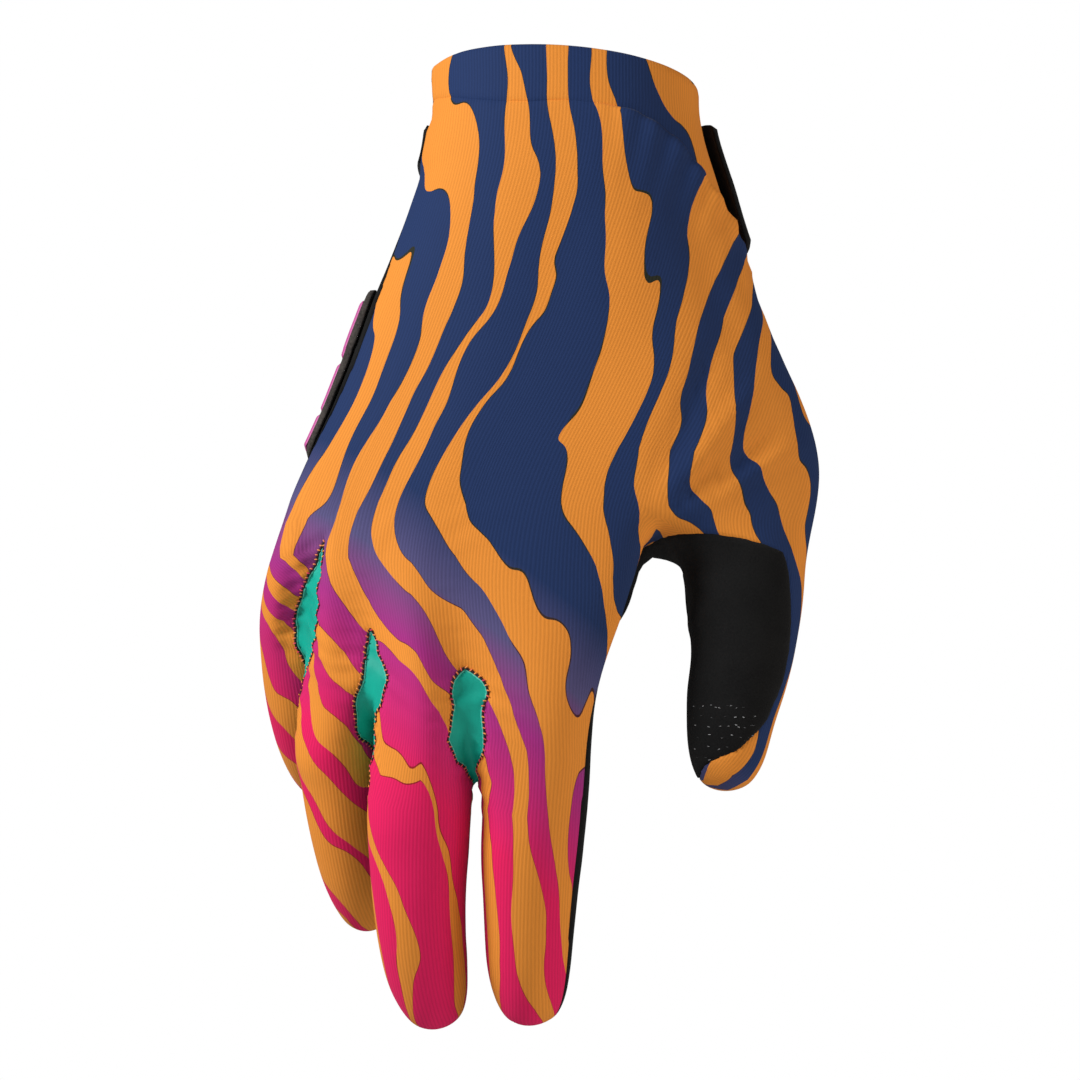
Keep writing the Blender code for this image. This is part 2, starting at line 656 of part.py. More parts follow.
def smoothed(skin, levels):
    """The skin as a fine mesh through its named points, with their marks and its faces' panels and zones."""
    mesh = bpy.data.meshes.new("skin")
    targets = np.array([tuple(p) for p in skin.points])
    mesh.from_pydata(targets.tolist(), [], skin.faces)
    for column, name in enumerate(MARKS):
        values = np.array([marks[column] for marks in skin.marks], np.float32)
        mesh.attributes.new(name, "FLOAT", "POINT").data.foreach_set("value", values)
    for column, name in enumerate(("panel", "zone")):
        values = np.array([labels[column] for labels in skin.labels], np.int32)
        mesh.attributes.new(name, "INT", "FACE").data.foreach_set("value", values)
    holder = bpy.data.objects.new("skin", mesh)
    bpy.context.scene.collection.objects.link(holder)
    smoothing = holder.modifiers.new("Smooth", "SUBSURF")
    smoothing.levels = smoothing.render_levels = levels
    cage = targets.copy()
    for _ in range(4):
        mesh.vertices.foreach_set("co", cage.astype(np.float32).ravel())
        mesh.update()
        bpy.context.view_layer.update()
        evaluated = holder.evaluated_get(bpy.context.evaluated_depsgraph_get()).data
        reached = np.array([v.co[:] for v in evaluated.vertices[: len(cage)]])
        cage += 0.8 * (targets - reached)
    mesh.vertices.foreach_set("co", cage.astype(np.float32).ravel())
    mesh.update()
    bpy.context.view_layer.update()
    graph = bpy.context.evaluated_depsgraph_get()
    fine = bpy.data.meshes.new_from_object(holder.evaluated_get(graph), depsgraph=graph)
    bpy.data.objects.remove(holder)
    net = bmesh.new()
    net.from_mesh(fine)
    return net


class Seams:
    """Cuts the skin into panels along lines where a value worked out from its marks is zero."""

    NEAR = 0.22

    def __init__(self, net):
        self.net = net
        self.panel = net.faces.layers.int["panel"]
        self.zone = net.faces.layers.int["zone"]
        self.mark = {name: net.verts.layers.float[name] for name in MARKS}

    def cut(self, zone, value_of, inside):
        """Splits the faces of a zone and gives the part where the value is positive to the panel inside."""
        faces = [f for f in self.net.faces if f[self.zone] == zone]
        value = {v: value_of({m: v[layer] for m, layer in self.mark.items()}) for f in faces for v in f.verts}
        value = {v: 0.0 if abs(x) < 1e-3 else x for v, x in value.items()}
        edges = {e for f in faces for e in f.edges}
        moved = {}
        for edge in edges:
            a, b = edge.verts
            if value[a] * value[b] >= 0:
                continue
            t = value[a] / (value[a] - value[b])
            near = a if t < self.NEAR else b if t > 1 - self.NEAR else None
            if near:
                moved.setdefault(near, []).append(a.co.lerp(b.co, t))
        for v, points in moved.items():
            value[v] = 0.0
            if len({f[self.panel] for f in v.link_faces}) == 1 and not v.is_boundary:
                v.co = sum(points, Vector()) / len(points)
        for edge in edges:
            a, b = edge.verts
            if value[a] * value[b] < 0:
                _, new = bmesh.utils.edge_split(edge, a, value[a] / (value[a] - value[b]))
                value[new] = 0.0
        while faces:
            face = faces.pop()
            pair = self.crossing(face, value)
            if pair:
                new, _ = bmesh.utils.face_split(face, *pair)
                faces += [face, new]
            elif sum(value[v] for v in face.verts) > 0:
                face[self.panel] = inside

    @staticmethod
    def crossing(face, value):
        """Two points of a face on the seam, with one side of it inside and the other outside."""
        verts = list(face.verts)
        count = len(verts)
        for i in range(count):
            for j in range(i + 2, count):
                if value[verts[i]] or value[verts[j]] or (i == 0 and j == count - 1):
                    continue
                one = [value[v] for v in verts[i + 1 : j]]
                other = [value[v] for v in verts[j + 1 :] + verts[:i]]
                if sum(one) * sum(other) < 0:
                    return verts[i], verts[j]
        return None


def gusset_value(marks, zone):
    """How far inside its gusset a point is, in the zone of one of the fingers beside it."""
    gap, after = divmod(zone - GUSSET_ZONE, 2)
    start = read_table(GAPS[gap].edge, "after" if after else "before", marks["along"])
    return min(marks["around"] - start, read_table(GAPS[gap].edge, "stop", marks["along"]) - marks["around"])


def panel_mesh(net, faces, wall, lift_of):
    """Points and faces of a closed sheet: these faces of the skin, and the same ones a wall's depth inside."""
    inside = set(faces)
    points, index = [], {}
    for v in {v for f in faces for v in f.verts}:
        pulls = []
        for edge in v.link_edges:
            mine = [f for f in edge.link_faces if f in inside]
            if len(mine) == 1 and len(edge.link_faces) == 2:
                pull = mine[0].normal.cross(edge.verts[1].co - edge.verts[0].co).normalized()
                middle = (edge.verts[0].co + edge.verts[1].co) / 2
                pulls.append(pull if pull.dot(mine[0].calc_center_median() - middle) > 0 else -pull)
        pull = sum(pulls, Vector())
        if len(pulls) == 2:
            pull = pull / max(1 + pulls[0].dot(pulls[1]), 0.45)
        outer = v.co + pull * SEAM_GAP / 2 + v.normal * lift_of(v)
        index[v] = len(points)
        points += [outer, outer - v.normal * wall]
    quads = []
    for face in faces:
        ring = [index[v] for v in face.verts]
        quads += [ring, [i + 1 for i in reversed(ring)]]
        for loop in face.loops:
            if sum(f in inside for f in loop.edge.link_faces) == 1:
                a, b = index[loop.vert], index[loop.link_loop_next.vert]
                quads.append([b, a, a + 1, b + 1])
    return points, quads


def add_object(name, points, faces, colour):
    mesh = bpy.data.meshes.new(name)
    mesh.from_pydata([tuple(p) for p in points], [], faces)
    mesh.validate()
    obj = bpy.data.objects.new(name, mesh)
    bpy.context.scene.collection.objects.link(obj)
    obj.data.materials.append(material(colour))
    return obj


def material(name):
    found = bpy.data.materials.get(name)
    if found:
        return found
    colour, roughness = COLOURS[name]
    found = bpy.data.materials.new(name)
    found.use_nodes = True
    shader = found.node_tree.nodes["Principled BSDF"]
    shader.inputs["Base Color"].default_value = (*colour, 1)
    shader.inputs["Roughness"].default_value = roughness
    shader.inputs["Metallic"].default_value = 0
    found.diffuse_color = (*colour, 1)
    return found


class Surface:
    """The outside of the skin round the wrist and palm, found by looking in towards its middle."""

    REACH = 0.2

    def __init__(self, net):
        self.tree = BVHTree.FromBMesh(net)

    def point(self, degrees, z):
        """Degrees run from the thumb's side at 0 over the palm at 90 to the little finger's side at 180."""
        angle = math.radians(degrees)
        out = Vector((math.cos(angle), math.sin(angle), 0))
        start = Vector((0, 0, z)) + out * self.REACH
        return self.tree.ray_cast(start, -out)[0]

    def arc(self, z, start, stop, steps=60):
        """Points round the palm from one angle to another, with their distances along the skin."""
        points = [self.point(start + (stop - start) * i / steps, z) for i in range(steps + 1)]
        lengths = [0.0]
        for one, other in zip(points, points[1:]):
            lengths.append(lengths[-1] + (other - one).length)
        return points, lengths

    def along_arc(self, arc, distance):
        points, lengths = arc
        i = min(max(int(np.searchsorted(lengths, distance)) - 1, 0), len(points) - 2)
        t = (distance - lengths[i]) / (lengths[i + 1] - lengths[i])
        return points[i].lerp(points[i + 1], t)


def sheet_on_skin(name, grid, clear, wall, colour):
    """A closed sheet over a grid of points on the skin. Its outer edge is thinned by a third."""
    rows, columns = len(grid), len(grid[0])
    points = []
    for i in range(rows):
        for j in range(columns):
            down = grid[min(i + 1, rows - 1)][j] - grid[max(i - 1, 0)][j]
            side = grid[i][min(j + 1, columns - 1)] - grid[i][max(j - 1, 0)]
            normal = down.cross(side).normalized()
            if normal.dot(Vector((grid[i][j].x, grid[i][j].y, 0))) < 0:
                normal.negate()
            rim = i in (0, rows - 1) or j in (0, columns - 1)
            lift = clear(i / (rows - 1), j / (columns - 1)) if callable(clear) else clear
            inner = grid[i][j] + normal * lift
            points += [inner + normal * wall * (0.66 if rim else 1.0), inner]
    faces = []

    def at(i, j):
        return 2 * (i * columns + j)

    for i in range(rows - 1):
        for j in range(columns - 1):
            ring = [at(i, j), at(i + 1, j), at(i + 1, j + 1), at(i, j + 1)]
            faces += [ring, [k + 1 for k in reversed(ring)]]
    border = [at(i, 0) for i in range(rows)] + [at(rows - 1, j) for j in range(1, columns)]
    border += [at(i, columns - 1) for i in range(rows - 2, -1, -1)] + [at(0, j) for j in range(columns - 2, 0, -1)]
    for a, b in zip(border, border[1:] + border[:1]):
        faces.append([b, a, a + 1, b + 1])
    obj = add_object(name, points, faces, colour)
    net = bmesh.new()
    net.from_mesh(obj.data)
    bmesh.ops.recalc_face_normals(net, faces=net.faces)
    net.to_mesh(obj.data)
    return obj


def pad_grid(surface, top, bottom, width_at, start_at, rows, columns):
    """Grid of points over the little-finger side of the palm, from z top to bottom."""
    grid = []
    for i in range(rows):
        place = i / (rows - 1)
        z = top + (bottom - top) * place
        arc = surface.arc(z, 200, 110)
        start, width = widest(arc) - start_at(place), width_at(place)
        grid.append([surface.along_arc(arc, start + width * j / (columns - 1)) for j in range(columns)])
    return grid


def widest(arc):
    """Distance along an arc to its outermost place on the little finger's side."""
    points, lengths = arc
    i = min(range(1, len(points) - 1), key=lambda k: points[k].x)
    curve = np.polyfit(lengths[max(i - 6, 0) : i + 7], [p.x for p in points[max(i - 6, 0) : i + 7]], 2)
    return float(-curve[1] / (2 * curve[0]))


def main():
    for obj in list(bpy.data.objects):
        bpy.data.objects.remove(obj)
    net = smoothed(build_skin(), 1)
    seams = Seams(net)
    seams.cut(HEEL_ZONE, lambda marks: marks["heel"], PALM)
    seams.cut(INDEX_ZONE, lambda marks: marks["edge"], PALM)
    seams.cut(PATCH_ZONE, lambda marks: marks["patch"], PATCH)
    seams.cut(HEM_ZONE, lambda marks: -marks["hem"], HEM)
    for zone in range(GUSSET_ZONE, GUSSET_ZONE + 2 * len(GAPS)):
        seams.cut(zone, lambda marks: gusset_value(marks, zone), GUSSET + (zone - GUSSET_ZONE) // 2)
    bmesh.ops.triangulate(net, faces=[f for f in net.faces if len(f.verts) > 4])
    net.normal_update()

    gather, hem = seams.mark["gather"], seams.mark["hem"]

    def gathered(v):
        return GATHER_RISE * max(v[gather], 0.0) * (1 - smooth_step(v[hem]))

    def flat(v):
        return 0.0

    sheets = [
        ("back_panel", BACK, KNIT_WALL, gathered, "print"),
        ("cuff_band", HEM, HEM_WALL, flat, "print"),
        ("palm_panel", PALM, SUEDE_WALL, flat, "suede"),
        ("thumb_patch", PATCH, SUEDE_WALL, flat, "suede"),
    ]
    sheets += [(f"gusset_{gap.name}", GUSSET + i, GUSSET_WALL, flat, "teal") for i, gap in enumerate(GAPS)]
    for name, panel, wall, lift, colour in sheets:
        faces = [f for f in net.faces if f[seams.panel] == panel]
        add_object(name, *panel_mesh(net, faces, wall, lift), colour)

    surface = Surface(net)
    top, bottom = -PAD_DROP + PAD_LENGTH / 2, -PAD_DROP - PAD_LENGTH / 2

    def pad_width(place):
        return PAD_WIDTH * (0.3 + 0.7 * (1 - abs(2 * place - 1) ** 3) ** 0.5)

    def pad_edge(place):
        return PAD_EDGE * (1 - abs(2 * place - 1) ** 3) ** 0.5

    pad = pad_grid(surface, top, bottom, pad_width, pad_edge, 15, 11)
    sheet_on_skin("heel_pad", pad, PAD_CLEAR, PAD_WALL, "suede")
    for i, bar in enumerate(BARS):
        start = top - PAD_LENGTH * bar.start
        stop = start - PAD_LENGTH * bar.length
        grid = pad_grid(surface, start, stop, lambda place: BAR_WIDTH, lambda place: 0.0, 6, 5)
        sheet_on_skin(f"grip_bar_{i + 1}", grid, PAD_CLEAR + PAD_WALL + PIECE_CLEAR, BAR_WALL, "pink")

    columns, rows = 25, 7
    grid = []
    for i in range(rows):
        line = []
        for j in range(columns):
            round_place = j / (columns - 1)
            corner = max(0.0, (round_place - 0.9) / 0.1)
            tall = (STRAP_ROOT + (STRAP_WIDTH - STRAP_ROOT) * smooth_step(round_place * 1.3)) / 2
            tall -= STRAP_CORNER * (1 - math.sqrt(max(0.0, 1 - corner**2)))
            centre = -STRAP_DROP + (0.5 - round_place) * STRAP_SLOPE
            z = centre + tall * (1 - 2 * i / (rows - 1))
            line.append(surface.point(STRAP_START + (STRAP_STOP - STRAP_START) * round_place, z))
        grid.append(line)
    sheet_on_skin("wrist_strap", grid, lambda i, j: PIECE_CLEAR + STRAP_LIFT * smooth_step((j - 0.6) / 0.4),
                  STRAP_WALL, "webbing")


main()
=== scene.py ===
"""Looks of a motocross glove for the right hand, in its worn form. Metres, +Z up.

The back of the hand faces -Y, the thumb is on the +X side and the fingers hang down. Each section makes one piece,
or a group of like pieces, with its sizes, its mesh and its material.
"""

import math
from collections import namedtuple

import bmesh
import bpy
import numpy as np
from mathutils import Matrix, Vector, noise
from mathutils.bvhtree import BVHTree


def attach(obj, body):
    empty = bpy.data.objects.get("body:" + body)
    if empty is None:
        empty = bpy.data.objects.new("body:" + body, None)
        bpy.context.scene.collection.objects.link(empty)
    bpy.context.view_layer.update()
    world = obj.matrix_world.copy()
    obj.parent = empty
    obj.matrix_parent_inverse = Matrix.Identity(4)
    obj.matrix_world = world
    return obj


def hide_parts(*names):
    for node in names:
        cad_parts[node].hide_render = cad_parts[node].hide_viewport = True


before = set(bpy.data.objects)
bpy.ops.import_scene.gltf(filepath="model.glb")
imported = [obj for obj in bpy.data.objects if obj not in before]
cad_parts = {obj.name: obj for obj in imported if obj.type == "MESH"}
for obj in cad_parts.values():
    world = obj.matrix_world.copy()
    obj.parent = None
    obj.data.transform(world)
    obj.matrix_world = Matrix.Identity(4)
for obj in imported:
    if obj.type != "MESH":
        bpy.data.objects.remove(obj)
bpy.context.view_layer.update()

# The hand form
# A knit glove keeps the form of the hand that it was shaped on. All its panels are cut from this one smooth form,
# which is drawn through named sections of the wrist, palm, fingers and thumb.

MM = 0.001

# Palm and wrist
RIM_TILT = 4.6 * MM
FORK_DROP = 106 * MM
HALF_SPAN = 60 * MM
WRIST_DEPTH = 44 * MM
THUMB_SET_BACK = 8 * MM
LITTLE_SET_BACK = 6 * MM
KNUCKLE_RISE = 1.6 * MM

# Fingers: the middle one is the longest and widest, and the others are shares of it
MIDDLE_ACROSS = -33.5 * MM
MIDDLE_BACK = 7.5 * MM
MIDDLE_DROP = 155 * MM
FINGER_LENGTH = 71 * MM
FINGER_WIDTH = 23.6 * MM
WEB_RISE = 5 * MM
WEB_DIP = 3 * MM

# Thumb
THUMB_LENGTH = 58 * MM
THUMB_WIDTH = 26.5 * MM

# Cloth
KNIT_WALL = 1.2 * MM
SUEDE_WALL = 1.4 * MM
GUSSET_WALL = 1.0 * MM
HEM_WALL = 2.0 * MM
SEAM_GAP = 0.3 * MM

# Cuff hem, and the slack knit that is gathered over it on the thumb side
HEM_HEIGHT = 12.6 * MM
HEM_DROP = 26.4 * MM
GATHER_RISE = 1.8 * MM
GATHER_LENGTH = 16 * MM

# Gussets between the fingers, seen from the back as long lenses
GUSSET_RISE = 15 * MM

# Pad on the little-finger side of the palm, and its raised bars
PIECE_CLEAR = 0.3 * MM
PAD_CLEAR = 0.7 * MM
PAD_EDGE = 4.5 * MM
PAD_LENGTH = 39 * MM
PAD_WIDTH = 22 * MM
PAD_WALL = 1.4 * MM
PAD_DROP = 69.5 * MM
BAR_WALL = 0.8 * MM
BAR_WIDTH = 8 * MM

# Closing tab on the palm side of the wrist, in degrees from the thumb's side over the palm
STRAP_WIDTH = 34 * MM
STRAP_ROOT = 9 * MM
STRAP_WALL = 1.8 * MM
STRAP_DROP = 20 * MM
STRAP_SLOPE = 9 * MM
STRAP_CORNER = 5 * MM
STRAP_LIFT = 2.2 * MM
STRAP_START, STRAP_STOP = 184, 1

# Sections of wrist and palm. drop is a share of FORK_DROP, ulnar and radial are half widths as shares of
# HALF_SPAN, back and palm are half depths as shares of WRIST_DEPTH, and square is the corner exponent.
Section = namedtuple("Section", "drop ulnar radial back palm square")
SECTIONS = (
    Section(0.00, 0.515, 0.515, 0.51, 0.49, 2.00),
    Section(0.11, 0.512, 0.525, 0.50, 0.49, 2.05),
    Section(0.26, 0.575, 0.600, 0.47, 0.48, 2.15),
    Section(0.42, 0.675, 0.675, 0.43, 0.49, 2.25),
    Section(0.56, 0.770, 0.785, 0.39, 0.51, 2.35),
    Section(0.70, 0.855, 0.890, 0.36, 0.53, 2.45),
    Section(0.84, 0.970, 0.960, 0.33, 0.54, 2.50),
    Section(1.00, 1.070, 0.930, 0.29, 0.54, 2.50),
)

# Lengthwise lines of the skin from the little finger's side to the thumb's. at_cuff and at_fork are places
# across the section, as shares of its half width.
Line = namedtuple("Line", "at_cuff at_fork")
LINES = (
    Line(-0.966, -0.985),
    Line(-0.866, -0.935),
    Line(-0.707, -0.800),
    Line(-0.500, -0.760),
    Line(-0.259, -0.620),
    Line(0.000, -0.465),
    Line(0.259, -0.300),
    Line(0.500, 0.000),
    Line(0.707, 0.400),
    Line(0.866, 0.690),
    Line(0.966, 0.885),
)
LAST_HAND_LINE = 8
LAST_LINE = len(LINES) - 1
BODY_DROPS = (0.0, 0.11, 0.23, 0.36, 0.49, 0.62, 0.75, 0.88, 1.0)
FORK_ROW = len(BODY_DROPS) - 1
HEM_ROWS, HEEL_ROW = 5, 2

# Rows between the fork of the thumb and the roots of the fingers. knuckle and valley are shares of
# KNUCKLE_RISE, over the fingers' own lines and over the lines between them.
HandRow = namedtuple("HandRow", "place knuckle valley")
HAND_ROWS = (HandRow(0.27, 0.2, 0.0), HandRow(0.53, 0.9, -0.3), HandRow(0.78, 1.0, -0.8))
WEB_ROW = FORK_ROW + len(HAND_ROWS) + 1
# The skin dips into the fork of the thumb, and turns there towards the index finger.
FORK_DIP = Vector((0.0, 2.5 * MM, -2.0 * MM))
FORK_TURN = Vector((-1.0, 0.0, -0.75))

# The fingers from the little one to the index. across, back and drop are places from the middle finger's
# root, and width is the finger's own, all as shares of FINGER_WIDTH; length is a share of FINGER_LENGTH.
# Flex turns a finger towards the palm and lean turns it towards the thumb, at its root and at its tip.
Finger = namedtuple("Finger", "name across back drop length width roll flex_root flex_tip lean_root lean_tip")
FINGERS = (
    Finger("little", -1.17, 0.78, -1.22, 0.76, 0.73, 34, 46, 86, 2.0, 24.0),
    Finger("ring", -0.79, 0.30, -0.66, 0.92, 0.85, 12, 34, 60, 3.0, 15.0),
    Finger("middle", 0.07, 0.00, 0.00, 1.00, 1.02, 0, 27, 52, -3.5, 16.0),
    Finger("index", 1.15, 0.02, 0.12, 0.92, 1.02, -4, 25, 48, -3.5, 3.5),
)

# Girth of a finger from root to tip. width and depth are shares of the finger's width.
Girth = namedtuple("Girth", "station width depth")
FINGER_GIRTH = (
    Girth(-0.20, 1.00, 0.93),
    Girth(0.00, 1.00, 0.91),
    Girth(0.20, 0.98, 0.88),
    Girth(0.40, 0.92, 0.86),
    Girth(0.57, 0.86, 0.82),
    Girth(0.72, 0.80, 0.76),
    Girth(0.85, 0.72, 0.67),
    Girth(0.94, 0.54, 0.50),
    Girth(1.00, 0.30, 0.28),
)
FINGER_STATIONS = (0.20, 0.33, 0.47, 0.62, 0.77, 0.89, 0.965)

# Places round a finger, in degrees from the middle of its back towards the thumb.
BACK_EDGE, SIDE, PALM_EDGE = 48, 94, 138
INDEX_SIDE = 80

# Thumb sections. station is a share of THUMB_LENGTH, across a share of HALF_SPAN, back a share of
# WRIST_DEPTH, and width and depth are shares of THUMB_WIDTH.
ThumbSection = namedtuple("ThumbSection", "station across back width depth")
THUMB_SECTIONS = (
    ThumbSection(0.13, 0.670, 0.24, 1.06, 1.00),
    ThumbSection(0.28, 0.675, 0.27, 0.99, 0.92),
    ThumbSection(0.44, 0.672, 0.31, 0.88, 0.86),
    ThumbSection(0.60, 0.645, 0.34, 0.83, 0.80),
    ThumbSection(0.75, 0.621, 0.37, 0.73, 0.72),
    ThumbSection(0.88, 0.608, 0.39, 0.62, 0.61),
    ThumbSection(0.965, 0.601, 0.40, 0.41, 0.39),
)
THUMB_TIP = ThumbSection(1.0, 0.598, 0.405, 0, 0)

# How far round the thumb its suede patch reaches, in the steps of THUMB_PLACES. station is a share of
# THUMB_LENGTH.
PatchEdge = namedtuple("PatchEdge", "station reach")
PATCH_EDGE = (
    PatchEdge(0.00, 1.0),
    PatchEdge(0.13, 2.85),
    PatchEdge(0.28, 3.15),
    PatchEdge(0.44, 3.45),
    PatchEdge(0.60, 3.60),
    PatchEdge(0.75, 3.30),
    PatchEdge(0.88, 2.30),
    PatchEdge(0.965, -0.60),
    PatchEdge(1.00, -1.50),
)

# Places round the thumb, from its inner side past its front or its back to the nail.
THUMB_PLACES = {"M": 0.0, "D8": 1.0, "D9": 2.0, "D10": 3.0, "R": 4.2, "P10": 4.0, "P9": 3.0, "P8": 1.5}
# The patch's place over the thumb's root, where it meets the palm along the back of the fork.
PATCH_ROOT = {"M": -0.7, "P8": 0.0, "P9": 0.0, "P10": -1.2, "R": -3.0, "D10": -2.6, "D9": -2.2, "D8": -2.0}

# How far the palm's suede reaches round the little-finger side onto the back, in lengthwise lines of the
# skin. drop is a share of FORK_DROP.
HeelEdge = namedtuple("HeelEdge", "drop reach")
HEEL_EDGE = (
    HeelEdge(0.00, 0.00),
    HeelEdge(0.25, 0.00),
    HeelEdge(0.36, 0.50),
    HeelEdge(0.50, 1.20),
    HeelEdge(0.65, 1.30),
    HeelEdge(0.80, 0.80),
    HeelEdge(0.95, 0.25),
    HeelEdge(1.15, 0.00),
)

# How far the palm's suede reaches round the index finger's side onto its back, as a share of the way from line M
# to line D8. place runs from the fork of the thumb at 0 over the finger's root at 1 to its tip at 2.
IndexEdge = namedtuple("IndexEdge", "place reach")
INDEX_EDGE = (
    IndexEdge(0.0, -0.2),
    IndexEdge(0.3, 0.16),
    IndexEdge(0.6, 0.52),
    IndexEdge(1.0, 0.70),
    IndexEdge(1.3, 0.74),
    IndexEdge(2.0, 0.68),
)
INDEX_LINES = {"M": 0, "D8": 1, "P8": -1}

# How far the hem reaches down on each lengthwise line, as a share of HEM_DROP past HEM_HEIGHT, and how much
# of GATHER_RISE the knit stands up below it there.
HemLine = namedtuple("HemLine", "drop gather")
HEM_LINES = {
    "P3": HemLine(-0.02, 0.0),
    "P2": HemLine(-0.08, 0.0),
    "P1": HemLine(-0.18, 0.0),
    "P0": HemLine(-0.27, 0.0),
    "L": HemLine(-0.29, 0.0),
    "D0": HemLine(-0.27, 0.0),
    "D1": HemLine(-0.20, 0.0),
    "D2": HemLine(-0.11, 0.0),
    "D3": HemLine(-0.04, 0.0),
    "D6": HemLine(0.05, 0.2),
    "D7": HemLine(0.15, 0.8),
    "D8": HemLine(0.32, 1.0),
    "D9": HemLine(0.60, 1.0),
    "D10": HemLine(0.92, 1.0),
    "R": HemLine(1.20, 0.6),
    "P10": HemLine(1.0, 0.0),
    "P9": HemLine(0.95, 0.0),
    "P8": HemLine(0.80, 0.0),
    "P7": HemLine(0.60, 0.0),
    "P6": HemLine(0.35, 0.0),
    "P5": HemLine(0.12, 0.0),
}
LEVEL_HEM = HemLine(0.0, 0.0)

# The raised bars on the pad, as shares of PAD_LENGTH.
Bar = namedtuple("Bar", "start length")
BARS = (Bar(0.09, 0.333), Bar(0.4625, 0.28), Bar(0.77, 0.185))

BACK, PALM, PATCH, HEM, GUSSET = range(5)
# Where a gusset starts on the finger before its gap and on the one after it, and where it stops on their front: 0
# is the middle of a finger's back, 0.5 the valley beside it, 1 its side and 2 the middle of its front. station is
# a share of GUSSET_RISE, from the fingers' roots.
GussetEdge = namedtuple("GussetEdge", "station before after stop")
LITTLE_RING_EDGE = (
    GussetEdge(-1.95, 0.70, 0.70, 1.61),
    GussetEdge(-1.72, 0.50, 0.46, 1.61),
    GussetEdge(-1.36, 0.46, 0.24, 1.61),
    GussetEdge(-0.95, 0.38, 0.18, 1.61),
    GussetEdge(-0.42, 0.33, 0.24, 1.67),
    GussetEdge(-0.10, 0.42, 0.40, 1.78),
    GussetEdge(0.30, 0.70, 0.72, 1.72),
    GussetEdge(0.70, 0.90, 0.95, 1.61),
    GussetEdge(1.05, 1.02, 1.02, 1.36),
    GussetEdge(1.40, 1.16, 1.16, 1.10),
)
RING_MIDDLE_EDGE = (
    GussetEdge(-1.20, 0.70, 0.70, 1.40),
    GussetEdge(-1.00, 0.49, 0.49, 1.40),
    GussetEdge(-0.80, 0.46, 0.44, 1.40),
    GussetEdge(-0.66, 0.44, 0.43, 1.40),
    GussetEdge(-0.56, 0.43, 0.36, 1.40),
    GussetEdge(-0.36, 0.40, 0.40, 1.45),
    GussetEdge(-0.06, 0.35, 0.55, 1.55),
    GussetEdge(0.36, 0.39, 0.66, 1.55),
    GussetEdge(0.70, 0.44, 0.86, 1.45),
    GussetEdge(1.05, 0.80, 1.02, 1.26),
    GussetEdge(1.40, 1.16, 1.16, 1.12),
)
MIDDLE_INDEX_EDGE = (
    GussetEdge(-1.05, 0.70, 0.70, 1.40),
    GussetEdge(-0.87, 0.48, 0.48, 1.40),
    GussetEdge(-0.79, 0.41, 0.40, 1.40),
    GussetEdge(-0.40, 0.37, 0.39, 1.40),
    GussetEdge(0.00, 0.35, 0.46, 1.55),
    GussetEdge(0.22, 0.50, 0.62, 1.55),
    GussetEdge(0.48, 0.74, 0.84, 1.50),
    GussetEdge(0.80, 0.98, 1.00, 1.40),
    GussetEdge(1.10, 1.06, 1.06, 1.26),
    GussetEdge(1.45, 1.16, 1.16, 1.12),
)
# The gaps between the fingers. edge is the gusset's table, valley is the place of the skin's line between the two
# fingers, from one to the other, and dip is how far its web hangs below the roots, as a share of WEB_DIP.
Gap = namedtuple("Gap", "name edge valley dip")
GAPS = (
    Gap("little_ring", LITTLE_RING_EDGE, 0.2, 1.0),
    Gap("ring_middle", RING_MIDDLE_EDGE, 0.5, 1.6),
    Gap("middle_index", MIDDLE_INDEX_EDGE, 0.06, 3.2),
)


def smooth_step(value):
    t = min(max(value, 0.0), 1.0)
    return t * t * (3 - 2 * t)


def hermite(start, end, leave, arrive, t):
    """Point at t on the cubic from start to end that leaves and arrives with these tangents."""
    return (
        start * (2 * t**3 - 3 * t**2 + 1)
        + leave * (t**3 - 2 * t**2 + t)
        + end * (3 * t**2 - 2 * t**3)
        + arrive * (t**3 - t**2)
    )


def read_table(rows, column, place):
    """One column of a table at a place between its rows, on a smooth curve through them."""
    places = [row[0] for row in rows]
    values = [getattr(row, column) for row in rows]
    slopes = np.gradient(values, places)
    place = min(max(place, places[0]), places[-1])
    i = min(max(int(np.searchsorted(places, place)) - 1, 0), len(places) - 2)
    span = places[i + 1] - places[i]
    t = (place - places[i]) / span
    return float(hermite(values[i], values[i + 1], slopes[i] * span, slopes[i + 1] * span, t))


def palm_point(share, side, drop):
    """Point of the wrist and palm at a share of the half width, on the back (-1) or palm (+1) side."""
    ulnar, radial, back, palm, square = (
        read_table(SECTIONS, column, drop) for column in ("ulnar", "radial", "back", "palm", "square")
    )
    half, middle = (ulnar + radial) / 2, (radial - ulnar) / 2
    rise = max(0.0, 1 - abs(share) ** square) ** (1 / square)
    depth = back if side < 0 else palm
    set_back = THUMB_SET_BACK * smooth_step((share - 0.15) / 0.85) * smooth_step(drop / 0.8)
    set_back += LITTLE_SET_BACK * smooth_step((-share - 0.3) / 0.7) * smooth_step(drop)
    return Vector(
        (
            HALF_SPAN * (middle + half * share),
            WRIST_DEPTH * side * rise * depth + set_back,
            -FORK_DROP * drop,
        )
    )


def line_share(index, drop):
    line = LINES[index]
    return line.at_cuff + (line.at_fork - line.at_cuff) * smooth_step(drop)


def body_ring(drop):
    """The ring of named points round the wrist or palm at this drop. The rim itself slopes to the thumb."""
    ring = {"L": palm_point(-0.995, -1, drop), "R": palm_point(1.0, 1, drop)}
    for i in range(len(LINES)):
        ring[f"D{i}"] = palm_point(line_share(i, drop), -1, drop)
        ring[f"P{i}"] = palm_point(line_share(i, drop), 1, drop)
    if drop == 0:
        for point in ring.values():
            point.z -= RIM_TILT / 2 * point.x / (HALF_SPAN * SECTIONS[0].radial)
    return ring


